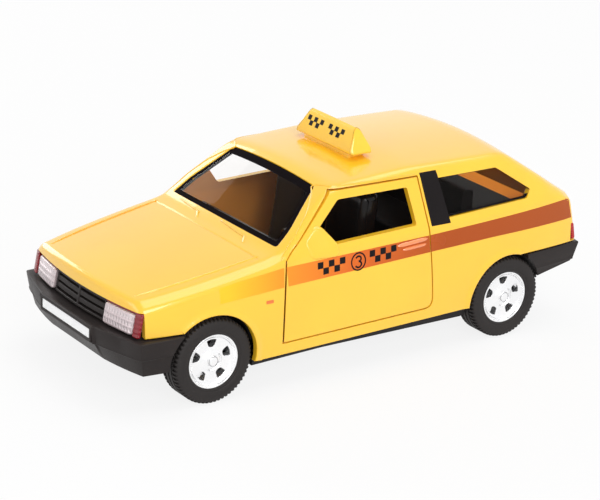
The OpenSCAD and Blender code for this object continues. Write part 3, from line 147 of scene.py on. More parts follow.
def half_section(x, inset, low_z):
    """The left half of a section, from the sill up and over to the middle of the top."""
    w = plan_half_w(x) - inset
    b, e = belt_point(x, inset), edge_point(x, inset)
    crown = lookup(x, CROWN_LINE)
    low = [[w - SILL_TUCK*(1 - s)**2, low_z + (WAIST_Z - low_z)*s] for s in np.linspace(0, 1, 8)[:-1]]
    rise = max(b[1] - WAIST_Z, 0.5)
    s1 = 1 - min(0.6/rise, 0.45)
    high = [[w - BELT_TUCK*s*s, WAIST_Z + (b[1] - WAIST_Z)*s] for s in np.linspace(0, s1, 9)[:-1]]
    start = np.array([w - BELT_TUCK*s1*s1, WAIST_Z + (b[1] - WAIST_Z)*s1])
    belt = bezier(start, b, toward(b, e, 0.6), 6)
    edge_r = 0.9 + 1.3*house(e[1] - b[1])

    def top(s):
        return np.array([e[0]*s, e[1] + crown*(1 - s*s)])
    edge = rounded(b, e, top(0.8), edge_r, 8)
    face = [belt[-1] + (edge[0] - belt[-1])*s for s in (0.2, 0.4, 0.6, 0.8)]
    s_end = edge[-1][0]/e[0]
    over = [top(s) for s in np.linspace(s_end, 0, 15)[1:]]
    if inset == 0 and x > 22:
        dip = GROOVE_D*math.exp(-((x - GROOVE_X)/GROOVE_W)**2)
        for p in over:
            p[1] -= dip
    return np.array(low + high + list(belt) + face + list(edge) + over)


END_STEPS = (0.0, 0.04, 0.12, 0.25, 0.42, 0.65)
BOTTOM = 16


def stations():
    xs = list(np.arange(TAIL_X + 0.9, NOSE_X - 0.89, 0.85)) + [NOSE_X - 0.9]
    xs += [GROOVE_X + d for d in (-0.4, -0.2, -0.1, 0, 0.1, 0.2, 0.4)]
    xs += [TAIL_X + 0.9*s for s in END_STEPS] + [NOSE_X - 0.9*s for s in END_STEPS]
    return sorted(set(round(x, 4) for x in xs))


def body_form(inset, drop):
    """Closed solid of the body, set in all round by inset: vertices and faces in mm."""
    rings = []
    for station in stations():
        s = min(station - TAIL_X, NOSE_X - station)/0.9
        extra = 0.9*(1 - math.sqrt(max(0, 1 - (1 - s)**2))) if s < 1 else 0.0
        x = inset_x(station, inset)
        half = half_section(x, inset + extra, raked(SILL_Z, x) - drop)
        ring = [placed(x, y, z) for y, z in half] + [placed(x, -y, z) for y, z in half[-2::-1]]
        w, z = half[0]
        ring += [placed(x, -w + 2*w*k/BOTTOM, z) for k in range(1, BOTTOM)]
        rings.append(ring)
    rings = np.array(rings)
    n, m = rings.shape[:2]
    h = (m - BOTTOM + 2)//2
    verts = [tuple(p) for p in rings.reshape(-1, 3)]
    faces = [(i*m + j, i*m + (j + 1) % m, (i + 1)*m + (j + 1) % m, (i + 1)*m + j)
             for i in range(n - 1) for j in range(m)]
    for end in (0, n - 1):
        base = end*m
        x = inset_x(stations()[end], inset)
        rows = [[base] + [base + m - k for k in range(1, BOTTOM)] + [base + 2*h - 2]]
        for j in range(1, h - 1):
            y, z = rings[end, j, 1:]
            row = [base + j]
            for k in range(1, BOTTOM):
                row.append(len(verts))
                verts.append(tuple(placed(x, y - 2*y*k/BOTTOM, z)))
            rows.append(row + [base + 2*h - 2 - j])
        for a, b in zip(rows, rows[1:]):
            for k in range(BOTTOM):
                quad = (a[k], a[k + 1], b[k + 1], b[k])
                faces.append(quad if end else quad[::-1])
        last = rows[-1]
        for k in range(BOTTOM):
            tip = (last[k], last[k + 1], base + h - 1)
            faces.append(tip if end else tip[::-1])
    return verts, faces


def on_side(x, z, inset=0.0):
    """Point of the left outer side at station x and height z."""
    half = half_section(x, inset, raked(SILL_Z, x))
    k = int(np.argmax(half[:, 1]))
    return placed(x, float(np.interp(z, half[:k, 1], half[:k, 0])), z)


def on_top(x, share, inset=0.0):
    x = inset_x(x, inset)
    e = edge_point(x, inset)
    return placed(x, e[0]*share, e[1] + lookup(x, CROWN_LINE)*(1 - share*share))


# Mesh helpers
def build(name, verts, faces):
    me = bpy.data.meshes.new(name)
    me.from_pydata([tuple(float(c)*MM for c in v) for v in verts], [], [tuple(f) for f in faces])
    bm = bmesh.new()
    bm.from_mesh(me)
    bmesh.ops.remove_doubles(bm, verts=bm.verts, dist=1e-7)
    bmesh.ops.recalc_face_normals(bm, faces=bm.faces)
    bm.to_mesh(me)
    bm.free()
    ob = bpy.data.objects.new(name, me)
    bpy.context.scene.collection.objects.link(ob)
    return ob


def loft(rings, closed=False):
    rings = np.array(rings, float)
    n, m = rings.shape[:2]
    faces = [(i*m + j, i*m + (j + 1) % m, ((i + 1) % n)*m + (j + 1) % m, ((i + 1) % n)*m + j)
             for i in range(n if closed else n - 1) for j in range(m)]
    if not closed:
        faces += [tuple(range(m))[::-1], tuple((n - 1)*m + j for j in range(m))]
    return rings.reshape(-1, 3), faces


def joined(*parts):
    verts, faces = [], []
    for v, f in parts:
        k = len(verts)
        verts += [tuple(p) for p in v]
        faces += [tuple(i + k for i in face) for face in f]
    return verts, faces


def mirrored(part):
    v, f = part
    return [(p[0], -p[1], p[2]) for p in v], [tuple(face)[::-1] for face in f]


def prism(points, y0, y1):
    return loft([[(x, y, z) for x, z in points] for y in (y0, y1)])


def block(x0, x1, y0, y1, z0, z1):
    return prism([(x0, z0), (x1, z0), (x1, z1), (x0, z1)], y0, y1)


def circle(r, n):
    return [(r*math.cos(2*math.pi*k/n), r*math.sin(2*math.pi*k/n)) for k in range(n)]


def post(x, y, r, z0, z1):
    return loft([[(x + a, y + b, z) for a, b in circle(r, 160)] for z in (z0, z1)])


def roller(x, z, r, y0, y1):
    return loft([[(x + a, y, z + b) for a, b in circle(r, 128)] for y in (y0, y1)])


def grid_faces(n, m):
    """Faces of a sheet of points, in n rows of m."""
    corners = [i*m + k for i in range(n - 1) for k in range(m - 1)]
    return [(c, c + 1, c + m + 1, c + m) for c in corners]


def boolean(ob, part, op="DIFFERENCE"):
    cutter = build("cutter", *part)
    mod = ob.modifiers.new("cut", "BOOLEAN")
    mod.operation, mod.solver, mod.object = op, "EXACT", cutter
    bpy.context.view_layer.update()
    got = ob.evaluated_get(bpy.context.evaluated_depsgraph_get())
    me = bpy.data.meshes.new_from_object(got)
    ob.modifiers.clear()
    ob.data = me
    bpy.data.objects.remove(cutter)
    return ob


def add_part(ob, part):
    """Adds more closed forms to an object's mesh."""
    me = ob.data
    bm = bmesh.new()
    bm.from_mesh(me)
    extra = build("extra", *part)
    bm.from_mesh(extra.data)
    bm.to_mesh(me)
    bm.free()
    bpy.data.objects.remove(extra)
    return ob


def piece(ob, mats, body, nodes=(), angle=34, bevel=0.0):
    me = ob.data
    me.materials.clear()
    for m in mats if isinstance(mats, (list, tuple)) else [mats]:
        me.materials.append(m)
    me.shade_smooth()
    me.set_sharp_from_angle(angle=math.radians(angle))
    if bevel:
        mod = ob.modifiers.new("round", "BEVEL")
        mod.width, mod.segments = bevel*MM, 2
        mod.limit_method, mod.angle_limit = "ANGLE", math.radians(angle)
    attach(ob, body)
    if nodes:
        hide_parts(*nodes)
    return ob


def reflected(me):
    """A copy of a mesh, mirrored from left to right."""
    other = me.copy()
    other.transform(Matrix.Scale(-1, 4, Vector((0, 1, 0))))
    other.flip_normals()
    return other


# Materials
def srgb(*rgb):
    def lin(c):
        c /= 255.0
        return c/12.92 if c <= 0.04045 else ((c + 0.055)/1.055)**2.4
    return tuple(lin(c) for c in rgb) + (1.0,)


def add_node(tree, kind, **inputs):
    n = tree.nodes.new(kind)
    for key, value in inputs.items():
        put(tree, value, n.inputs[key])
    return n


def put(tree, value, socket):
    if isinstance(value, bpy.types.NodeSocket):
        tree.links.new(value, socket)
    else:
        socket.default_value = value


def add_math(tree, op, *values):
    n = tree.nodes.new("ShaderNodeMath")
    n.operation = op
    for socket, value in zip(n.inputs, values):
        put(tree, value, socket)
    return n.outputs[0]


def mix_shaders(tree, share, a, b, out):
    n = tree.nodes.new("ShaderNodeMixShader")
    for socket, value in zip(n.inputs, (share, a, b)):
        tree.links.new(value, socket)
    tree.links.new(n.outputs["Shader"], out.inputs["Surface"])


class Shade:
    """A node material with a little variation of colour, roughness and relief in object space."""

    def __init__(self, name, colour, rough=0.4, metallic=0.0, coat=0.0, vary=0.06, patch=120.0,
                 rough_vary=0.08, grain=1800.0, relief=0.05, round_mm=0.0, spec=0.5):
        self.mat = bpy.data.materials.new(name)
        self.mat.use_nodes = True
        self.tree = self.mat.node_tree
        self.bsdf = self.tree.nodes["Principled BSDF"]
        self.coord = self.node("ShaderNodeTexCoord").outputs["Object"]
        self.xyz = self.node("ShaderNodeSeparateXYZ", Vector=self.coord).outputs
        blot = self.node("ShaderNodeTexNoise", Vector=self.coord, Scale=patch, Detail=3.0).outputs["Fac"]
        dark = tuple(c*(1 - vary) for c in colour[:3]) + (1.0,)
        pale = tuple(min(1.0, c*(1 + vary)) for c in colour[:3]) + (1.0,)
        self.colour = self.ramp(blot, [(0.3, dark), (0.7, pale)])
        self.link(self.colour, "Base Color")
        fine = self.node("ShaderNodeTexNoise", Vector=self.coord, Scale=grain, Detail=4.0).outputs["Fac"]
        low, high = max(0.0, rough - rough_vary), min(1.0, rough + rough_vary)
        spread = self.node("ShaderNodeMapRange", Value=blot, **{"To Min": low, "To Max": high})
        self.link(spread.outputs["Result"], "Roughness")
        self.bump = self.node("ShaderNodeBump", Height=fine, Strength=relief, Distance=0.0002)
        if round_mm:
            soft = self.node("ShaderNodeBevel", Radius=round_mm*MM)
            soft.samples = 6
            self.tree.links.new(soft.outputs["Normal"], self.bump.inputs["Normal"])
        self.link(self.bump.outputs["Normal"], "Normal")
        self.bsdf.inputs["Metallic"].default_value = metallic
        self.bsdf.inputs["Coat Weight"].default_value = coat
        self.bsdf.inputs["Coat Roughness"].default_value = 0.04
        self.bsdf.inputs["Specular IOR Level"].default_value = spec

    def node(self, kind, **inputs):
        return add_node(self.tree, kind, **inputs)

    def link(self, out, name):
        self.tree.links.new(out, self.bsdf.inputs[name])

    def math(self, op, *values):
        return add_math(self.tree, op, *values)

    def mix(self, fac, a, b):
        return self.node("ShaderNodeMixRGB", Fac=fac, Color1=a, Color2=b).outputs[0]

    def ramp(self, value, stops):
        n = self.node("ShaderNodeValToRGB", Fac=value)
        r = n.color_ramp
        while len(r.elements) < len(stops):
            r.elements.new(0.5)
        for element, (position, colour) in zip(r.elements, stops):
            element.position, element.color = position, colour
        return n.outputs["Color"]

    def relief(self, height, distance):
        b = self.node("ShaderNodeBump", Height=height, Strength=1.0, Distance=distance*MM,
                      Normal=self.bump.outputs["Normal"])
        self.link(b.outputs["Normal"], "Normal")


YELLOW = srgb(255, 199, 44)
paint = Shade("paint", YELLOW, 0.24, coat=0.7, vary=0.03, patch=70, rough_vary=0.04,
              grain=900, relief=0.03, round_mm=0.14)
trim = Shade("trim", srgb(44, 39, 38), 0.38, vary=0.12, grain=5200, relief=0.2, round_mm=0.12, spec=0.14)
under = Shade("under", srgb(30, 27, 27), 0.5, vary=0.12, grain=4200, relief=0.25, round_mm=0.12, spec=0.25)
cabin = Shade("cabin", srgb(20, 18, 18), 0.22, vary=0.15, grain=2600, relief=0.04, round_mm=0.2, spec=0.2)
tub = Shade("tub", srgb(20, 18, 18), 0.55, vary=0.15, grain=2600, relief=0.1, round_mm=0.2, spec=0.1)
rubber = Shade("rubber", srgb(38, 34, 33), 0.62, vary=0.14, grain=4200, relief=0.3, spec=0.3)
chrome = Shade("chrome", srgb(250, 250, 251), 0.14, metallic=0.9, vary=0.03, rough_vary=0.04,
               grain=1400, relief=0.03, round_mm=0.06)
steel = Shade("steel", srgb(176, 176, 178), 0.28, metallic=1.0, vary=0.06, grain=3000, relief=0.1)
plate = Shade("plate", srgb(252, 253, 254), 0.35, coat=0.3, vary=0.015, grain=2500, relief=0.05)
sign = Shade("sign", srgb(255, 204, 44), 0.22, coat=0.6, vary=0.03, grain=900, relief=0.03, round_mm=0.15)
black = Shade("black", srgb(24, 20, 21), 0.3, vary=0.1, grain=2500, relief=0.05, spec=0.12)
# The handle bars carry the stripe's print; their lighter orange is a painted highlight for the glints on the
# moulded handle.
grip_glint = Shade("grip_glint", srgb(240, 140, 80), 0.16, coat=0.9, vary=0.05, patch=300, grain=900, relief=0.03)
repeater = Shade("repeater", srgb(236, 120, 44), 0.3, coat=0.4, vary=0.08, grain=2500, relief=0.05)
brass = Shade("brass", srgb(196, 158, 84), 0.3, metallic=1.0, vary=0.08, grain=2600, relief=0.1)
gearwhite = Shade("gearwhite", srgb(224, 220, 208), 0.45, vary=0.05, grain=2600, relief=0.1)
motor = Shade("motor", srgb(58, 60, 66), 0.42, vary=0.1, grain=3400, relief=0.2)

# The cabin's inside is the same yellow paint; this more orange colour is painted shade.
inside = Shade("inside", srgb(238, 156, 62), 0.42, vary=0.05, patch=90, grain=900, relief=0.05)
edging = Shade("edging", srgb(22, 18, 20), 0.5, vary=0.1, grain=2500, relief=0.05, spec=0.05)
edging.bsdf.inputs["IOR"].default_value = 1.12

# The casting's painted ledge behind the shelf, drawn as colour on the rear strip of the tub's shelf; its
# orange, rather than the paint's yellow, is painted shade as on the cabin's inside.
LEDGE_X, LEDGE_Z = -0.0405, 0.025
ledge = tub.math("MULTIPLY", tub.math("LESS_THAN", tub.xyz[0], LEDGE_X),
                 tub.math("GREATER_THAN", tub.xyz[2], LEDGE_Z))
tub.link(tub.mix(ledge, tub.colour, srgb(246, 150, 50)), "Base Color")

band = Shade("band", srgb(226, 112, 48), 0.26, coat=0.08, spec=0.2, vary=0.04, patch=90, rough_vary=0.04,
             grain=900, relief=0.03)
# The stripe is orange print; this ramp along the car, brown at the rear, lighter orange forward and fading
# into the body's yellow near the front, is painted reflection and highlight.
along = band.math("MULTIPLY_ADD", band.xyz[0], 10.0, 0.55)
band.link(band.ramp(along, [(0.05, srgb(172, 80, 26)), (0.38, srgb(174, 78, 22)),
                            (0.60, srgb(222, 106, 36)), (0.75, srgb(246, 148, 40)),
                            (0.88, YELLOW)]), "Base Color")

lens = Shade("lens", srgb(226, 214, 215), 0.16, metallic=0.25, coat=0.8, vary=0.1, patch=400, relief=0.05)
rib_y = lens.math("SINE", lens.math("MULTIPLY", lens.xyz[1], 2*math.pi/0.0008))
rib_z = lens.math("SINE", lens.math("MULTIPLY", lens.xyz[2], 2*math.pi/0.0011))
ribs = lens.math("MAXIMUM", rib_y, rib_z)
lens.relief(ribs, 0.09)
rib_share = lens.math("MULTIPLY_ADD", ribs, 0.22, 0.3)
lens.link(lens.mix(rib_share, lens.colour, srgb(196, 172, 176)), "Base Color")


def lamp_red(name, colour, pitch):
    m = Shade(name, colour, 0.2, coat=0.3, vary=0.15, patch=300, relief=0.05, spec=0.3)
    rib = m.math("SINE", m.math("MULTIPLY", m.xyz[2], 2*math.pi/pitch))
    m.relief(rib, 0.06)
    m.bsdf.inputs["Transmission Weight"].default_value = 0.12
    return m


red = lamp_red("red", srgb(146, 20, 32), 0.0009)
tail_red = lamp_red("tail_red", srgb(190, 26, 30), 0.0007)


def clear_glass():
    """Glass that shines on its front faces only, so that a closed slab shines once."""
    m = bpy.data.materials.new("glass")
    m.use_nodes = True
    t = m.node_tree
    t.nodes.clear()
    coord = add_node(t, "ShaderNodeTexCoord").outputs["Object"]
    noise = add_node(t, "ShaderNodeTexNoise", Vector=coord, Scale=150.0).outputs["Fac"]
    bump = add_node(t, "ShaderNodeBump", Height=noise, Strength=0.002, Distance=0.0002).outputs["Normal"]
    tint = add_node(t, "ShaderNodeValToRGB", Fac=noise)
    tint.color_ramp.elements[0].color = (0.95, 0.94, 0.93, 1)
    tint.color_ramp.elements[1].color = (0.99, 0.985, 0.98, 1)
    see = add_node(t, "ShaderNodeBsdfTransparent", Color=tint.outputs["Color"]).outputs["BSDF"]
    shine = add_node(t, "ShaderNodeBsdfGlossy", Roughness=0.03, Normal=bump).outputs["BSDF"]
    fresnel = add_node(t, "ShaderNodeFresnel", IOR=1.16).outputs["Fac"]
    behind = add_node(t, "ShaderNodeNewGeometry").outputs["Backfacing"]
    share = add_math(t, "MULTIPLY", fresnel, add_math(t, "SUBTRACT", 1.0, behind))
    mix_shaders(t, share, see, shine, t.nodes.new("ShaderNodeOutputMaterial"))
    return m


glass = clear_glass()

# Body panels: the shell with its door, window, arch and lamp openings
shell = build("shell", *body_form(0, 0))
boolean(shell, body_form(WALL, OVER))


def door_points(grow):
    low_x, belt_x, top_x = -15.6 - grow, -13.9 - grow, -12.9 - grow
    low_z, low_rear = raked(DOOR_LOW_Z, DOOR_FRONT_X) - grow, raked(DOOR_LOW_Z, -15.6) - grow
    belt_z, top_z = raked(BELT_Z, -13.9), 36.7 + grow
    turn = rounded((belt_x, belt_z), (low_x, low_rear), (DOOR_FRONT_X, low_z), 2.0, 9)
    return [(23.5, low_z), (23.5, DOOR_SHOULDER_Z), (DOOR_FRONT_X + grow, DOOR_SHOULDER_Z),
            (7.8 + grow, top_z), (top_x, top_z), (belt_x, belt_z)] + [tuple(p) for p in turn]


def rounded_loop(points, r, n=6):
    k = len(points)
    out = []
    for i in range(k):
        out += [tuple(p) for p in rounded(points[i - 1], points[i], points[(i + 1) % k], r, n)]
    return out


WINDOW = rounded_loop([(6.5, 34.9), (-9.9, 34.9), (-10.9, 27.69), (8.3, 27.07), (11.7, 30.47)], 0.5)


def quarter_points(grow):
    return [(-17.0 + grow, 35.6 + grow), (-32.2, 35.6 + grow), (-40.4 - grow, 30.3 + grow),
            (-39.2 - grow, 28.7 - grow), (-18.2 + grow, raked(26.7, -18.2) - grow)]


SHUT_R = math.hypot(HINGE[0] - DOOR_FRONT_X, plan_half_w(DOOR_FRONT_X) - HINGE[1])

left_door = shell.copy()
left_door.data = shell.data.copy()
bpy.context.scene.collection.objects.link(left_door)
left_door.name = "left_door_panel"
boolean(left_door, prism(door_points(-DOOR_GAP), *SIDE_CUT), "INTERSECT")
boolean(left_door, prism(WINDOW, 11, 46))
boolean(left_door, post(HINGE[0], HINGE[1], SHUT_R + DOOR_GAP, 0, ROOF_Z))


CORNER_R = 0.7


def screen_point(edges, s, u, depth):
    """A point of a screen with rounded corners and a bowed lower edge, s up its height and u across."""
    x0, x1, share0, share1, bow = edges
    reach = 1.3*abs(x1 - x0)*min(s, 1 - s)
    pull = CORNER_R - math.sqrt(CORNER_R**2 - max(0.0, CORNER_R - reach)**2)
    share = share0 + (share1 - share0)*s - pull/17.0
    return on_top(x0 + (x1 - x0)*s + bow*(1 - s)*(1 - u*u), share*u, depth)


END = (0.0, 0.006, 0.014, 0.026, 0.045, 0.08, 0.12)
STEPS = END + tuple(np.linspace(0.17, 0.83, 15)) + tuple(1 - e for e in END[::-1])


def sheet(edges, outer, inner, ny):
    """A closed curved slab between two depths: its points, front faces, back faces and rim."""
    n, m = len(STEPS), ny + 1
    half = n*m
    verts = [screen_point(edges, s, 2*k/ny - 1, depth)
             for depth in (outer, inner) for s in STEPS for k in range(m)]
    front = grid_faces(n, m)
    back = [tuple(j + half for j in f)[::-1] for f in front]
    rim = []
    for k in range(ny):
        a, b = k, (n - 1)*m + k
        rim += [(a + 1, a, a + half, a + 1 + half), (b, b + 1, b + 1 + half, b + half)]
    for i in range(n - 1):
        a, b = i*m, i*m + ny
        rim += [(a, a + m, a + m + half, a + half), (b + m, b, b + half, b + m + half)]
    return verts, front, back, rim


def screen(edges, outer, inner):
    verts, front, back, rim = sheet(edges, outer, inner, 24)
    return verts, front + back + rim


LOW_X, HIGH_X = COWL_X - 0.8, TOP_X + 0.9
REAR_HIGH_X, REAR_LOW_X = ROOF_REAR_X - 2.4, TAIL_X + 3.4
boolean(shell, screen((LOW_X, HIGH_X, 0.925, 0.778, 0.2), -OVER, WALL + OVER))
boolean(shell, screen((REAR_HIGH_X, REAR_LOW_X, 0.78, 0.8, 0.0), -OVER, WALL + OVER))
boolean(shell, block(FRONT_X, FAR, -FAR, FAR, 0, FRONT_BUMPER_Z))
boolean(shell, block(-FAR, REAR_X, -FAR, FAR, 0, REAR_BUMPER_Z))
boolean(shell, block(NOSE_X - WALL - OVER, FAR, -LAMP_HALF_W, LAMP_HALF_W, LAMP_LOW_Z, LAMP_HIGH_Z))
boolean(shell, block(NOSE_X - 0.3, FAR, -FAR, FAR, LAMP_LOW_Z, LAMP_HIGH_Z))
boolean(shell, block(-FAR, FAR, -FAR, 0, -FAR, FAR))
opening = build("opening", *prism(door_points(0), *SIDE_CUT))
boolean(opening, post(HINGE[0], HINGE[1], SHUT_R, 0, DOOR_SHOULDER_Z + OVER))
cut = ([tuple(c/MM for c in v.co) for v in opening.data.vertices],
       [tuple(p.vertices) for p in opening.data.polygons])
bpy.data.objects.remove(opening)
boolean(shell, cut)
boolean(shell, joined(prism(rounded_loop(quarter_points(0), 0.4), *SIDE_CUT),
                      roller(FRONT_X, AXLE_Z, ARCH_R, plan_half_w(FRONT_X) - 5, 45),
                      roller(REAR_X, AXLE_Z, ARCH_R, plan_half_w(REAR_X) - 5, 45)))


def arch_flare(axle_x, span):
    """A rolled lip round a wheel arch, down to the raked sill."""
    w = plan_half_w(axle_x)
    profile = [(ARCH_R, -0.5), (ARCH_R, 0.06), (9.34, 0.2), (9.46, 0.29), (9.62, 0.3), (9.85, 0.23),
               (10.15, 0.13), (10.5, 0.05), (11.0, -0.03), (11.0, -0.5)]
    rings = []
    for a in np.linspace(*span, 107):
        c, s = math.cos(math.radians(a)), math.sin(math.radians(a))
        ring = []
        for r, out in profile:
            x, z = axle_x + r*c, AXLE_Z + r*s
            y = on_side(x, min(z, 24.0))[1]
            ring.append((x, y + out, z))
        rings.append(ring)
    return loft(rings)


def sill_angle(axle_x, way):
    """Where a wheel arch runs out at the sill, in degrees above the axle."""
    return math.degrees(math.asin((raked(SILL_Z, axle_x + way*10.2) - AXLE_Z)/10.2))


boolean(shell, arch_flare(FRONT_X, (46, 180 - sill_angle(FRONT_X, -1))), "UNION")
boolean(shell, arch_flare(REAR_X, (sill_angle(REAR_X, 1), 109)), "UNION")
boolean(shell, block(-FAR, TAIL_X + WALL, TAIL_LAMP_Y, LAMP_HALF_W, *TAIL_LAMP_Z))
boolean(shell, block(-FAR, TAIL_X, TAIL_LAMP_Y, FAR, *TAIL_LAMP_Z))


def whole(ob):
    """Joins a left half and its mirror image along the middle plane."""
    bm = bmesh.new()
    bm.from_mesh(ob.data)
    middle = [f for f in bm.faces if all(abs(v.co.y) < 1e-6 for v in f.verts)]
    bmesh.ops.delete(bm, geom=middle, context="FACES_ONLY")
    bm.to_mesh(ob.data)
    bm.from_mesh(reflected(ob.data))
    bmesh.ops.remove_doubles(bm, verts=bm.verts, dist=1e-6)
    bm.to_mesh(ob.data)
    bm.free()


whole(shell)


def ridge(points, r, lift, up=(0, 0, 1), n=8):
    """A thin moulded rib along a line of points, half sunk in the surface."""
    rings = []
    pts = np.array(points, float)
    for i, p in enumerate(pts):
        t = pts[min(i + 1, len(pts) - 1)] - pts[max(i - 1, 0)]
        t = t/np.linalg.norm(t)
        u = np.array(up, float) - t*np.dot(up, t)
        u = u/np.linalg.norm(u)
        s = np.cross(t, u)
        size = r*math.sqrt(max(0.05, 1 - (2*i/(len(pts) - 1) - 1)**6))
        rings.append([p + s*a + u*(lift + b) for a, b in circle(size, n)])
    return loft(rings)


def between(a, b, n):
    return [(a[0] + (b[0] - a[0])*k/n, a[1] + (b[1] - a[1])*k/n) for k in range(n + 1)]


def top_line(a, b, n=14):
    return [on_top(x, share) for x, share in between(a, b, n)]


def side_line(a, b, n=14):
    return [on_side(x, z) for x, z in between(a, b, n)]


# Cowl ridges and bonnet creases, each from station and share across to station and share
for a, b, n, r, lift in (
        ((21.3, 0.55), (20.6, 0.05), 14, 0.22, 0.02), ((22.6, 0.6), (21.0, 0.5), 14, 0.26, 0.02),
        ((21.3, -0.25), (20.6, -0.7), 14, 0.22, 0.02), ((22.6, -0.2), (21.0, -0.32), 14, 0.26, 0.02),
        ((48.6, 0.87), (23.5, 0.905), 40, 0.24, 0.0), ((48.6, -0.87), (23.5, -0.905), 40, 0.24, 0.0)):
    add_part(shell, ridge(top_line(a, b, n), r, lift))
DRIP = ((DOOR_FRONT_X + 0.5, 25.8), (8.25, 37.0), (-12.6, 37.0))
turn = [tuple(p) for p in rounded(*DRIP, 1.2, 8)]
drip = between(DRIP[0], turn[0], 20)[:-1] + turn + between(turn[-1], DRIP[2], 20)[1:]
rail = ridge([on_side(x, z) for x, z in drip], 0.15, 0.0, (0, 1, 0))
add_part(shell, joined(rail, mirrored(rail)))
shell.name = "body_panels"


def painted(ob, body, node):
    """A painted casting, with a duller coat and a more orange colour on the faces that look in at the cabin:
    painted shade for the cabin's inside.
    """
    piece(ob, [paint.mat, inside.mat], body, [node])
    for poly in ob.data.polygons:
        x, y, z = poly.center/MM
        out = Vector((0.35*(x - MIDDLE_X), y, z - 18.0)).normalized()
        poly.material_index = int(poly.normal.dot(out) < -0.5)


painted(shell, "body", "body_shell")

# Doors: a mirror wedge on the left one, then the mirrored copy
MIRROR = [(8.3, 25.0), (14.1, 25.0), (15.1, 28.3), (12.9, 30.8), (11.3, 30.8), (8.3, 27.3)]
MIRROR_MID = (11.7, 27.9)
rings = []
for share, rise in ((1.02, -0.4), (1.02, 0.0), (1.0, 0.3), (0.975, 0.62), (0.94, 0.84), (0.9, 0.95),
                    (0.84, 1.0), (0.4, 1.0)):
    loop = [tuple(m + (c - m)*share for c, m in zip(p, MIRROR_MID)) for p in MIRROR]
    ring = []
    for x, z in rounded_loop(loop, 0.9, 6):
        out = rise*(0.05 + 1.05*smooth(15.6, 8.0, x)) if rise > 0 else rise
        ring.append((x, on_side(x, z)[1] + out, z))
    rings.append(ring)
add_part(left_door, loft(rings))


right_door = bpy.data.objects.new("right_door_panel", reflected(left_door.data))
bpy.context.scene.collection.objects.link(right_door)
painted(left_door, "left_door", "left_door")
painted(right_door, "right_door", "right_door")

# Glazing, with a black printed border on the screens: its depths under the paint and its gap
GLASS, GLASS_GAP = (0.2, 1.1), 0.15


def pane(edges, border, ny=72):
    """A screen's glass: its points, clear faces, and the faces that carry the printed border."""
    verts, front, back, rim = sheet(edges, *GLASS, ny)
    tall = 1.3*abs(edges[1] - edges[0])
    clear, printed = [], []
    for j, face in enumerate(front):
        i, k = divmod(j, ny)
        mid = tall*(STEPS[i] + STEPS[i + 1])/2
        aside = 15.0*(1 - abs((2*k + 1)/ny - 1))
        inside = mid > border[0] and tall - mid > border[1] and aside > border[2]
        (clear if inside else printed).append(face)
    return verts, clear + back, printed + rim


def quarter_pane():
    """The left quarter window's glass: its points, clear faces and printed rim."""
    loop = rounded_loop(quarter_points(-GLASS_GAP), 0.4)
    n = len(loop)
    centre = tuple(np.mean(loop, axis=0))
    verts = [on_side(x, z, depth) for depth in GLASS for x, z in loop]
    verts += [on_side(*centre, depth) for depth in GLASS]
    front = [(k, (k + 1) % n, 2*n) for k in range(n)]
    back = [((k + 1) % n + n, k + n, 2*n + 1) for k in range(n)]
    return verts, front + back, [((k + 1) % n, k, k + n, (k + 1) % n + n) for k in range(n)]


verts, clear, printed = quarter_pane()
panes = [pane((LOW_X - 0.05, HIGH_X + 0.05, 0.922, 0.775, 0.2), (1.3, 1.8, 0.9)),
         pane((REAR_HIGH_X - 0.05, REAR_LOW_X + 0.05, 0.777, 0.797, 0.0), (1.0, 1.0, 0.8)),
         (verts, clear, printed), (*mirrored((verts, clear)), mirrored((verts, printed))[1])]
marks = [mark for pane_parts in panes for mark in (0, 1) for _ in pane_parts[1 + mark]]
glass_form = joined(*((v, list(clear) + list(printed)) for v, clear, printed in panes))
cabin_glass = piece(build("cabin_glass", *glass_form), [glass, edging.mat], "body",
                    ["window_glazing"])
for poly, mark in zip(cabin_glass.data.polygons, marks):
    poly.material_index = mark

# Printed stripe, checks, ring and other marks, as thin layers on the sides
def slab(points, normals, faces, up=0.03, down=0.05):
    pts, nrm = np.array(points), np.array(normals)
    n = len(pts)
    edges = {}
    for f in faces:
        for a, b in zip(f, f[1:] + f[:1]):
            edges[(a, b)] = edges.get((a, b), 0) + 1
    out = list(faces) + [tuple(i + n for i in f)[::-1] for f in faces]
    out += [(b, a, a + n, b + n) for (a, b) in edges if (b, a) not in edges]
    return np.vstack([pts + nrm*up, pts - nrm*down]), out


def side_normal(x, z):
    u = on_side(x + 0.3, z) - on_side(x - 0.3, z)
    v = on_side(x, z + 0.2) - on_side(x, z - 0.2)
    n = np.cross(v, u)
    return n/np.linalg.norm(n)


def side_slab(points, faces, up=0.03):
    return slab([on_side(x, z) for x, z in points], [side_normal(x, z) for x, z in points],
                [tuple(f) for f in faces], up)


def side_grid(xs, low, high, nz=10):
    """Points between two lines of height, over a row of stations, and their faces."""
    pts = [(x, low(x) + (high(x) - low(x))*s) for x in xs for s in np.linspace(0, 1, nz + 1)]
    return pts, grid_faces(len(xs), nz + 1)


STRIPE_LOW = np.array([[-51.0, 22.4], [-30.0, 22.35], [-14.5, 21.95], [20.5, 20.75], [38.0, 19.6]])
STRIPE_HIGH = np.array([[-51.0, 26.7], [-14.5, 25.37], [20.5, 24.56], [30.0, 23.5], [38.0, 22.3]])


def stripe(x0, x1, lean=0.0, n=40):
    pts, faces = side_grid(np.linspace(x0, x1, n + 1), lambda x: lookup(x, STRIPE_LOW),
                           lambda x: lookup(x, STRIPE_HIGH))
    return [(x + lean*(z - 26.6), z) for x, z in pts], faces


def both(name, part, bodies, mat):
    for side, body, form in (("left", bodies[0], part), ("right", bodies[1], mirrored(part))):
        piece(build(f"{side}_{name}", *form), mat, body)


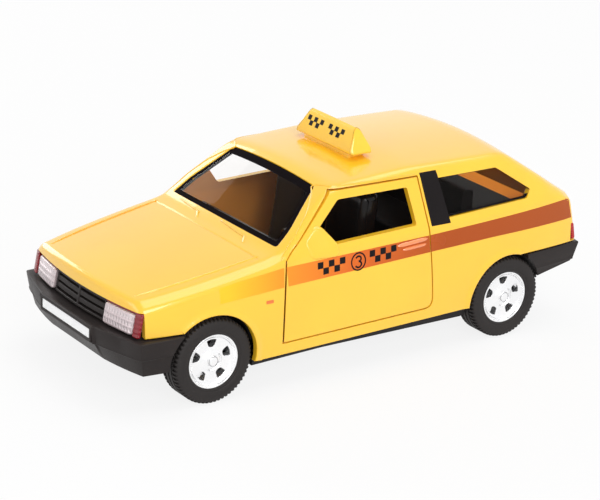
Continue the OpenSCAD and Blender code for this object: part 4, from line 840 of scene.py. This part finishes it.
DOORS, BODY = ("left_door", "right_door"), ("body", "body")
STRIPE_UP, PRINT_UP = 0.02, 0.045
both("stripe_door", side_slab(*stripe(-13.55, 20.15, 0.1), STRIPE_UP), DOORS, band.mat)
both("handle", joined(ridge(side_line((-13.2, 24.85), (-5.9, 24.45)), 0.4, 0.08, (0, 1, 0)),
                      ridge(side_line((-12.9, 23.8), (-7.2, 23.5)), 0.36, 0.05, (0, 1, 0))), DOORS, grip_glint.mat)
both("stripe_wing", side_slab(*stripe(20.52, 34.5), STRIPE_UP), BODY, band.mat)
both("stripe_tail", side_slab(*stripe(-51.0, -13.95, 0.05), STRIPE_UP), BODY, band.mat)


def check(x, z, size, slope):
    pts = [(x + size*u, z + size*v + slope*size*u) for u in (0, 0.5, 1) for v in (0, 0.5, 1)]
    return pts, grid_faces(3, 3)


def checks(x0, z0, size, slope):
    """A row of five squares, three above and two below, running back from x0."""
    parts = []
    for k in range(5):
        x = x0 - size*(k + 1)
        z = z0 + slope*(x0 - x) - size*(k % 2)
        parts.append(side_slab(*check(x, z, size, -slope), PRINT_UP))
    return joined(*parts)


def ring_print(cx, cz, ra, rb, line, n=56):
    pts = []
    for k in range(n):
        a = 2*math.pi*k/n
        for d in (0, -line):
            pts.append((cx + (ra + d)*math.cos(a), cz + (rb + d)*math.sin(a)))
    faces = [(2*k, 2*k + 1, (2*k + 3) % (2*n), (2*k + 2) % (2*n)) for k in range(n)]
    return side_slab(pts, faces, PRINT_UP)


def stroke(points, width):
    """A band of even width along a line of points in side view."""
    pts = np.array(points, float)
    out = []
    for i in range(len(pts)):
        t = pts[min(i + 1, len(pts) - 1)] - pts[max(i - 1, 0)]
        t = t/np.linalg.norm(t)
        s = np.array([-t[1], t[0]])*width/2
        out += [tuple(pts[i] + s), tuple(pts[i] - s)]
    return out, [(2*k, 2*k + 1, 2*k + 3, 2*k + 2) for k in range(len(pts) - 1)]


RING = (3.4, 22.95)


def digit(flip):
    """A plain numeral 3 inside the ring, the right way round on either side."""
    pts = []
    for wide, tall, rise, angles in ((0.6, 0.52, 0.53, range(-70, 181, 10)),
                                     (0.7, 0.6, -0.57, range(10, 251, 10))):
        for a in angles:
            turn = math.radians(a)
            pts.append((RING[0] - flip*wide*math.sin(turn), RING[1] + rise + tall*math.cos(turn)))
    return side_slab(*stroke(pts, 0.36), PRINT_UP)


both("checks_front", checks(12.9, 22.95, 1.28, 0.035), DOORS, black.mat)
both("checks_rear", checks(0.75, 23.35, 1.28, 0.035), DOORS, black.mat)
both("ring", ring_print(*RING, 1.78, 1.86, 0.3), DOORS, black.mat)
piece(build("left_numeral", *digit(1)), black.mat, "left_door")
piece(build("right_numeral", *mirrored(digit(-1))), black.mat, "right_door")
repeater_grid = side_grid(np.linspace(22.9, 24.5, 5), lambda x: 18.1, lambda x: 18.75, 3)
both("repeater", side_slab(*repeater_grid, PRINT_UP), BODY, repeater.mat)
pts = []
for z in np.linspace(27.0, 37.05, 13):
    fore, aft = -13.3 - 0.112*(36.7 - z), -17.55 - 0.175*(35.7 - z)
    pts += [(fore + (aft - fore)*s, z) for s in np.linspace(0, 1, 5)]
both("pillar_print", side_slab(pts, grid_faces(13, 5)), BODY, black.mat)

# Bumpers: lofted from plan outlines at several heights
def bumper_line(way, face_x, flat_y, corner, end_x, side_y, bulge, step=0.0):
    """Plan outline from the left end round to the right end."""
    face, corner = np.array([face_x, flat_y]), np.array(corner)
    mid = (face + corner)/2 + np.array([way*bulge, 0])
    ys = np.linspace(0, flat_y, 12)[:-1]
    half = [np.array([face_x, y]) for y in ys]
    half += [p - np.array([way*step*smooth(flat_y, flat_y + 0.35, p[1])*(1 - smooth(16, 21, p[1])), 0])
             for p in bezier(face, mid, corner, 40)]
    turn = np.array([end_x, side_y])
    half = half[:-1] + list(bezier(half[-1], corner, toward(corner, turn, 1.2), 6))
    half += [half[-1] + (turn - half[-1])*s for s in np.linspace(0, 1, 14)[1:]]
    return [tuple(p) for p in half[:0:-1]] + [(p[0], -p[1]) for p in half]


def front_line(inset, step=0.0):
    return bumper_line(1, 55.0 - inset, 9.9, (51.4 - inset, 22.1 - inset), 39.1, 22.5 - inset, 0.9, step)


def valance_line(inset):
    return bumper_line(1, 52.2 - inset, 9.9, (50.1 - inset, 20.8 - inset), 39.1, 22.0 - inset, 0.5)


def mixed(a, b, s):
    return [(p[0] + (q[0] - p[0])*s, p[1] + (q[1] - p[1])*s) for p, q in zip(a, b)]


def at(line, z):
    return [(x, y, z) for x, y in line]


def level_loft(rings):
    """Joins plan outlines at several heights into one moulding."""
    return loft(np.transpose(np.array(rings), (1, 0, 2)))


STEP = 0.4
low_line, under_line = front_line(0.5, STEP), valance_line(0.0)
levels = [(14.9, valance_line(1.6))]
levels += [(z, front_line(inset, STEP)) for z, inset in (
    (14.9, 0.9), (14.9, 0.25), (14.8, 0.06), (14.6, 0.0), (12.4, 0.3), (11.62, 0.42), (11.5, 0.36),
    (11.4, 0.42))]
levels += [(11.3 - 3.3*s, mixed(low_line, under_line, 0.12 + 0.88*s))
           for s in (0, 0.25, 0.5, 0.75, 0.94, 1.0)]
levels += [(8.0, valance_line(0.4)), (8.0, valance_line(1.6)), (11.4, valance_line(1.6))]
front_bumper = build("front_bumper_moulding", *level_loft([at(line, z) for z, line in levels]))
for sign_y in (1, -1):
    boolean(front_bumper, roller(FRONT_X, AXLE_Z, ARCH_R, sign_y*16, sign_y*46))
boolean(front_bumper, block(54.5, 56, -9.25, 9.25, 12.05, 14.35))
piece(front_bumper, trim.mat, "body", ["front_bumper"], angle=28)


def rear_line(lean):
    side = lean*0.35
    return bumper_line(-1, -55.0 + lean, 15.0, (-54.3 + lean, 20.9 - side), -39.5, 22.5 - side, 0.3)


def rear_low(line, z):
    return [(x, y, z + 2.0*limited((-39.5 - x)/15.5)) for x, y in line]


REAR_INNER = bumper_line(-1, -52.4, 13.4, (-51.7, 19.3), -39.5, 20.9, 0.3)
rings = [at(rear_line(lean), z) for z, lean in (
    (17.0, 0.3), (16.9, 0.08), (16.7, 0.02), (14.2, 0.72), (13.4, 0.95), (13.25, 0.88), (13.12, 1.02))]
rings += [rear_low(rear_line(lean), z) for z, lean in ((11.5, 1.32), (11.1, 1.4), (11.0, 1.6))]
rings += [rear_low(REAR_INNER, 11.0), at(REAR_INNER, 17.0)]
rear_bumper = build("rear_bumper_moulding", *level_loft(rings))
for sign_y in (1, -1):
    boolean(rear_bumper, roller(REAR_X, AXLE_Z, ARCH_R, sign_y*16, sign_y*46))
boolean(rear_bumper, block(-56, -54.5, -9.25, 9.25, 14.35, 16.65))
piece(rear_bumper, trim.mat, "body", ["rear_bumper"], angle=28)


def frame_bar(x0, x1, y, z0, z1, t):
    """A raised rectangular frame round a plate."""
    def ring(x, grow):
        a, b, c = y + grow, z0 - grow, z1 + grow
        return [(x, -a, b), (x, a, b), (x, a, c), (x, -a, c)]
    rings = [ring(x0, t), ring(x1, t), ring(x1, 0), ring(x0, 0)]
    return loft(np.array(rings), closed=True)


for name, form in (("front", frame_bar(54.4, 54.98, 9.1, 12.2, 14.2, 0.55)),
                   ("rear", frame_bar(-54.4, -54.98, 9.1, 14.5, 16.5, 0.5))):
    piece(build(f"{name}_plate_frame", *form), trim.mat, "body", bevel=0.1)


def rect(y0, y1, z0, z1, r, n=7):
    return rounded_loop([(y0, z0), (y1, z0), (y1, z1), (y0, z1)], r, n)


def number_plate(name, x0, x1, z0, z1, node):
    face = rect(-9.0, 9.0, z0, z1, 0.25, 4)
    inner = rect(-8.75, 8.75, z0 + 0.2, z1 - 0.2, 0.15, 4)
    t = x1 - x0
    rings = [[(x0, y, z) for y, z in face], [(x1, y, z) for y, z in face],
             [(x1, y, z) for y, z in inner], [(x1 - t*0.25, y*0.997, z) for y, z in inner]]
    piece(build(name, *loft(rings)), plate.mat, "body", [node], angle=25)


number_plate("front_plate_blank", 54.5, 54.84, 12.3, 14.1, "front_number_plate")
number_plate("rear_plate_blank", -54.5, -54.84, 14.6, 16.4, "rear_number_plate")

# Grille and lamps on the nose and tail faces
def face_x(end_x, y, z):
    return placed(end_x, y, z)[0]


def pillow(end_x, outline, sink, depth, r, dome):
    """A moulded lens: rounded front edge, crowned face, square back."""
    way = 1 if end_x > 0 else -1
    pts = np.array(outline, float)
    mid = pts.mean(axis=0)
    size = np.abs(pts - mid).max(axis=0)

    def ring(pull, fall):
        out = []
        for y, z in pts:
            d = np.array([y, z]) - mid
            q = mid + d*np.maximum(0.02, 1 - pull/size)
            out.append((face_x(end_x, q[0], q[1]) - way*(sink + fall), q[0], q[1]))
        return out
    rings = [ring(0, depth)]
    for a in np.linspace(0, 90, 6):
        rings.append(ring(r*(1 - math.cos(math.radians(a))), r*(1 - math.sin(math.radians(a)))))
    for s in (0.2, 0.45, 0.7, 0.98):
        rings.append(ring(r + (size.min() - r)*s, -dome*(1 - (1 - s)**2)))
    return loft(rings)


def dense(loop, step=0.5):
    out = []
    for a, b in zip(loop, loop[1:] + loop[:1]):
        k = max(1, int(math.hypot(b[0] - a[0], b[1] - a[1])/step))
        out += [(a[0] + (b[0] - a[0])*i/k, a[1] + (b[1] - a[1])*i/k) for i in range(k)]
    return out


def curved_box(end_x, y0, y1, z0, z1, sink, depth, n=24):
    way = 1 if end_x > 0 else -1
    rings = []
    for k in range(n + 1):
        y = y0 + (y1 - y0)*k/n
        a, b = face_x(end_x, y, z0) - way*sink, face_x(end_x, y, z1) - way*sink
        rings.append([(a, y, z0), (b, y, z1), (b - way*depth, y, z1), (a - way*depth, y, z0)])
    return loft(rings)


grille = [curved_box(NOSE_X, -18.2, 18.2, 15.37, 19.73, 2.5, 0.8),
          curved_box(NOSE_X, -9.2, 9.2, 15.25, 19.85, 1.7, 0.9)]
for z0, z1, s in ((15.25, 15.75, 0.7), (16.15, 17.1, 0.85), (17.5, 18.45, 0.85), (19.1, 19.85, 0.6)):
    grille.append(curved_box(NOSE_X, -9.2, 9.2, z0, z1, s, 1.2))
for y in (-9.2, -0.35, 8.7):
    grille.append(curved_box(NOSE_X, y, y + (0.7 if abs(y) < 1 else 0.5), 15.25, 19.85, 0.75, 1.2, 2))
piece(build("grille_bars", *joined(*grille)), trim.mat, "body", ["grille"], bevel=0.12)


def lens_pair(name, node, form, mat):
    for side, part in (("left", form), ("right", mirrored(form))):
        piece(build(f"{side}_{name}", *part), mat, "body", [f"{side}_{node}"])


lens_pair("headlamp_lens", "headlamp",
          pillow(NOSE_X, dense(rect(9.45, 18.1, 15.3, 19.35, 0.8)), 0.25, 2.2, 0.3, 0.18), lens.mat)
lens_pair("indicator_lens", "indicator",
          joined(pillow(NOSE_X, dense(rect(18.3, 20.0, 15.25, 19.85, 0.35)), 0.1, 0.5, 0.2, 0.05),
                 curved_box(NOSE_X, 9.4, 18.28, 19.45, 19.85, 0.5, 0.6)), red.mat)
lens_pair("tail_lens", "tail_lamp",
          pillow(TAIL_X, dense(rect(11.62, 20.4, 17.5, 21.0, 0.4)), 0.1, 0.9, 0.25, 0.1), tail_red.mat)

# Wheels
TYRE_R, TYRE_W, FACE_Y, RIM_R = 8.45, 5.6, 22.2, 5.45
LUGS = 60


def tyre_form(x, side):
    """A tyre with staggered lugs: each row of the profile has a radius, a place and a depth of cut."""
    outer, inner = FACE_Y, FACE_Y - TYRE_W
    mid = (outer + inner)/2
    wide = TYRE_W/2
    profile = [(RIM_R, wide - 0.9, 0), (RIM_R, wide - 0.25, 0), (RIM_R + 0.15, wide - 0.08, 0),
               (RIM_R + 0.5, wide - 0.12, 0), (RIM_R + 0.65, wide - 0.02, 0), (RIM_R + 1.4, wide, 0),
               (TYRE_R - 0.85, wide - 0.06, 0), (TYRE_R - 0.72, wide - 0.1, 0.02),
               (TYRE_R - 0.42, wide - 0.16, 0.1), (TYRE_R - 0.12, wide - 0.36, 0.22),
               (TYRE_R, wide - 0.62, 0.28), (TYRE_R, wide - 1.35, 0.28), (TYRE_R, wide - 1.4, 0),
               (TYRE_R - 0.35, wide - 1.5, 0), (TYRE_R - 0.35, wide - 1.7, 0), (TYRE_R, wide - 1.8, 0),
               (TYRE_R, 0.3, 0), (TYRE_R - 0.35, 0.2, 0)]
    loop = [(r, side*(mid + y), cut, 0) for r, y, cut in profile]
    loop += [(r, side*(mid - y), cut, 1) for r, y, cut in profile[::-1]]
    steps = [(2*math.pi*(k + share)/LUGS, j)
             for k in range(LUGS) for j, share in enumerate((0.0, 0.44, 0.5, 0.94))]
    rings = []
    for a, j in steps:
        ring = []
        for r, y, cut, far in loop:
            low = (j >= 2) != bool(far)
            radius = r - (cut if low else 0)
            ring.append((x + radius*math.cos(a), y, AXLE_Z + radius*math.sin(a)))
        rings.append(ring)
    return loft(rings, closed=True)


def spun(x, side, profile, n=120):
    """A closed profile of radius and place across the car, turned about a wheel's axle."""
    rings = [[(x + r*c, side*y, AXLE_Z + r*s) for r, y in profile] for c, s in circle(1, n)]
    return loft(rings, closed=True)


HOLE = ((2.75, -0.62), (2.6, 0.0), (2.75, 0.62), (4.05, 1.12), (4.25, 0.0), (4.05, -1.12))


def rim_form(name, x, side):
    """A wheel disc with five holes and a hub cap."""
    outer = FACE_Y - 0.35
    back = outer - 4.6
    profile = [(0.02, back + 2.2), (4.75, back + 2.2), (4.85, back), (RIM_R, back)]
    profile += [(RIM_R - pull, outer - fall) for pull, fall in (
        (0, 0.1), (0.1, 0), (0.32, 0), (0.42, 0.1), (0.46, 0.28), (0.62, 0.34), (0.7, 0.5), (0.95, 0.72))]
    profile += [(r, outer - fall) for r, fall in (
        (4.0, 0.86), (3.2, 0.92), (2.5, 0.86), (1.95, 0.68), (1.75, 0.5), (1.5, 0.4), (1.25, 0.3),
        (1.12, 0.34), (1.02, 0.12), (0.85, -0.02), (0.5, -0.1), (0.02, -0.12))]
    ob = build(name, *spun(x, side, profile))
    holes = []
    for k in range(5):
        a = math.radians(72*k + 90)
        u, t = np.array([math.cos(a), math.sin(a)]), np.array([-math.sin(a), math.cos(a)])
        shape = rounded_loop([tuple(u*r + t*w) for r, w in HOLE], 0.3, 5)
        holes.append(prism([(x + p[0], AXLE_Z + p[1]) for p in shape], side*(back - 1), side*(outer + 1)))
    return boolean(ob, joined(*holes))


def arc(x, r, start, end):
    turns = [math.radians(a) for a in np.linspace(start, end, 41)]
    return [(x + r*math.cos(a), AXLE_Z + r*math.sin(a)) for a in turns]


def wheel_house(x):
    """A dark half round liner over a left wheel, closed on its inner side."""
    inner = arc(x, 9.28, 14, 166)
    wall = prism(inner + [(x - 9.0, 10.3), (x + 9.0, 10.3)], 15.2, 15.7)
    return joined(prism(inner + arc(x, 9.6, 166, 14), 15.6, 20.6), wall)


for end, x in (("front", FRONT_X), ("rear", REAR_X)):
    body = f"{end}_wheels"
    for side_name, side in (("left", 1), ("right", -1)):
        wheel = f"{end}_{side_name}"
        tread = build(f"{wheel}_tyre_tread", *tyre_form(x, side))
        piece(tread, rubber.mat, body, [f"{wheel}_tyre"], angle=40)
        disc = rim_form(f"{wheel}_wheel_disc", x, side)
        piece(disc, chrome.mat, body, [f"{wheel}_rim"], angle=30)
        liner = wheel_house(x) if side > 0 else mirrored(wheel_house(x))
        piece(build(f"{wheel}_wheel_house", *liner), under.mat, "body")

# Roof sign
low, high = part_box("roof_sign")
sx, sz, sh, sw, sl = -5.5, low[2]/MM, (high[2] - low[2])/MM, 19.6, 5.0
wedge = [(-sl/2, 0.9), (-sl/2, 0.25), (-sl/2 + 0.25, 0.0), (sl/2 - 0.25, 0.0), (sl/2, 0.25), (sl/2, 0.9)]
peak = rounded((sl/2, 0.9), (0, sh + 1.1), (-sl/2, 0.9), 2.2, 12)
top_gap = sh - peak[:, 1].max()
profile = wedge + [(p[0], p[1] + top_gap*(p[1]/sh)) for p in peak]
SIGN_END = ((1, 0.0, 0.45), (1, 0.12, 0.14), (1, 0.42, 0.0))
sections = [(-share, inset, shift) for share, inset, shift in SIGN_END[::-1]]
sections += [(share, 0.0, 0.0) for share in (-0.96, -0.5, 0, 0.5, 0.96)] + list(SIGN_END)
rings = []
for share, inset, shift in sections:
    keep, mid_z = 1 - inset/2.5, sh*0.45
    rings.append([(sx + px*keep, share*(sw/2 - 2.0*pz/sh) - math.copysign(shift, share),
                   sz + mid_z + (pz - mid_z)*keep) for px, pz in profile])
piece(build("roof_sign_box", *loft(rings)), sign.mat, "body", ["roof_sign"], angle=32)


CHECK_W = 1.04


def sign_check(way):
    """Two groups of checks on a sloping face of the sign."""
    p0, p1 = np.array([sl/2, 0.9]), peak[0] + np.array([0, top_gap*(peak[0][1]/sh)])
    d = (p1 - p0)/np.linalg.norm(p1 - p0)
    out = (way*d[1], 0, -d[0])
    parts = []
    for y0, row in ((start + k*CHECK_W, k % 2) for start in (-7.1, 0.0) for k in range(5)):
        pts = []
        for u in (0, 1):
            for v in (0, 1):
                q = p0 + d*(1.3 + (1 - row) + v)
                pts.append((sx + way*q[0], y0 + CHECK_W*u, sz + q[1]))
        parts.append(slab(pts, [out]*4, [(0, 1, 3, 2)], 0.04))
    return joined(*parts)


piece(build("roof_sign_checks", *joined(sign_check(1), sign_check(-1))), black.mat, "body")
foot_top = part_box("roof_sign_foot")[1][2]/MM
foot = rect(-7.8, 7.8, -1.9, 1.9, 0.5, 5)
rings = [[(sx + b*s, a*(1 - (1 - s)*0.25), z) for a, b in foot]
         for z, s in ((38.55, 1.0), (foot_top - 0.15, 1.0), (foot_top + 0.05, 0.96))]
piece(build("roof_sign_base", *loft(rings)), sign.mat, "body", ["roof_sign_foot"], bevel=0.06)

# Seats, rounded across their width
def inset_loop(loop, d):
    pts = np.array(loop, float)
    area = 0.5*np.sum(pts[:, 0]*np.roll(pts[:, 1], -1) - np.roll(pts[:, 0], -1)*pts[:, 1])
    out = []
    for i in range(len(pts)):
        t = pts[(i + 1) % len(pts)] - pts[i - 1]
        t = t/max(np.linalg.norm(t), 1e-9)
        nrm = np.array([-t[1], t[0]])*(1 if area > 0 else -1)
        out.append(pts[i] + nrm*d)
    return np.array(out)


def cushion(loop, y0, y1, r):
    """A side view drawn out across the car, with its two edges rounded."""
    rings = []
    for y, way, angles in ((y0, 1, (0, 25, 50, 75, 90)), (y1, -1, (90, 75, 50, 25, 0))):
        for a in angles:
            c, s = math.cos(math.radians(a)), math.sin(math.radians(a))
            rings.append([(p[0], y + way*r*(1 - c), p[1]) for p in inset_loop(loop, r*(1 - s))])
    return loft(rings)


for side in ("left", "right"):
    (x0, y0, z0), (x1, y1, z1) = (np.array(c)/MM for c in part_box(f"{side}_front_seat"))
    side_view = [(x0 + 2.2, z0), (x1 - 0.4, z0), (x1, z0 + 3), (x1 - 0.5, z0 + 7.0), (x1 - 2.4, z0 + 7.6),
                 (x0 + 7.8, z0 + 7.4), (x0 + 6.7, z0 + 9), (x0 + 5.5, z0 + 17), (x0 + 4.7, z1 - 0.8),
                 (x0 + 3.6, z1), (x0 + 1.0, z1), (x0 + 0.1, z1 - 1.4)]
    seat = cushion(dense(rounded_loop(side_view, 1.2, 4), 0.9), y0, y1, 1.5)
    piece(build(f"{side}_seat_shell", *seat), cabin.mat, "body", [f"{side}_front_seat"], angle=50)

# CAD nodes that stay, with their own materials
KEPT = {
    under.mat: ["chassis_base", "left_hinge_bracket", "right_hinge_bracket"],
    tub.mat: ["interior_tub", "rear_bench"],
    cabin.mat: ["dashboard", "steering_wheel"],
    paint.mat: ["left_door_hinge", "right_door_hinge"],
    steel.mat: ["left_hinge_pin", "right_hinge_pin", "chassis_screws", "front_axle",
                "rear_axle", "idler_shaft", "mainspring"],
    motor.mat: ["motor_case_left", "motor_case_right"],
    gearwhite.mat: ["idler_gear", "spring_gear"],
    brass.mat: ["axle_gear"],
}
for mat, names in KEPT.items():
    for name in names:
        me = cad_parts[name].data
        if me.materials:
            for k in range(len(me.materials)):
                me.materials[k] = mat
        else:
            me.materials.append(mat)

# Floor, light and camera
FLOOR = 2500
floor = build("floor", [(-FLOOR, -FLOOR, 0), (FLOOR, -FLOOR, 0), (FLOOR, FLOOR, 0), (-FLOOR, FLOOR, 0)],
              [(0, 1, 2, 3)])
FLOOR_GLOW, WORLD_FILL = 0.85, 0.45


def seen_ray(tree):
    """One for a camera, glossy or transmission ray, zero for the light that falls on the part."""
    path = tree.nodes.new("ShaderNodeLightPath").outputs
    straight = add_math(tree, "MAXIMUM", path["Is Camera Ray"], path["Is Glossy Ray"])
    return add_math(tree, "MAXIMUM", straight, path["Is Transmission Ray"])


fm = bpy.data.materials.new("floor")
fm.use_nodes = True
t = fm.node_tree
bsdf = t.nodes["Principled BSDF"]
bsdf.inputs["Roughness"].default_value = 0.9
bsdf.inputs["Base Color"].default_value = (0.86, 0.86, 0.86, 1)
glow = t.nodes.new("ShaderNodeEmission").outputs["Emission"]
mix_shaders(t, add_math(t, "MULTIPLY", seen_ray(t), FLOOR_GLOW), bsdf.outputs["BSDF"], glow,
            t.nodes["Material Output"])
floor.data.materials.append(fm)

world = bpy.data.worlds.new("studio")
world.use_nodes = True
t = world.node_tree
bg = t.nodes["Background"]
level = add_node(t, "ShaderNodeMapRange", Value=seen_ray(t), **{"To Min": WORLD_FILL, "To Max": 1.0})
t.links.new(level.outputs["Result"], bg.inputs["Strength"])
bg.inputs["Color"].default_value = (1, 1, 1, 1)
bpy.context.scene.world = world


def lamp(name, pos, level, size):
    """A softbox facing the object, at a share of the light that renders white as white."""
    light = bpy.data.lights.new(name, "AREA")
    light.size = size
    d = Vector(pos).length
    light.energy = level*math.pi**2*d*d
    ob = bpy.data.objects.new(name, light)
    ob.location = pos
    ob.rotation_euler = (Vector((0, 0, 0.015)) - Vector(pos)).to_track_quat("-Z", "Y").to_euler()
    bpy.context.scene.collection.objects.link(ob)


lamp("key", (0.2, 0.8, 0.4), 0.52, 0.5)
lamp("top", (-0.25, 0.1, 0.92), 0.36, 0.7)
lamp("front", (0.85, -0.25, 0.2), 0.15, 0.5)
lamp("far", (0.1, -0.85, 0.3), 0.3, 0.5)

cam = bpy.data.cameras.new("camera")
cam.lens, cam.sensor_width, cam.clip_start, cam.clip_end = 135.25, 36.0, 0.01, 20.0
view = bpy.data.objects.new("camera", cam)
right, up, back = (-0.82366, 0.56543, 0.04332), (-0.16049, -0.30567, 0.93851), (0.54391, 0.76606, 0.34252)
view.matrix_world = Matrix(((right[0], up[0], back[0], 0.24741), (right[1], up[1], back[1], 0.34645),
                            (right[2], up[2], back[2], 0.17259), (0, 0, 0, 1)))
bpy.context.scene.collection.objects.link(view)
bpy.context.scene.camera = view
bpy.context.scene.view_settings.view_transform = "Standard"
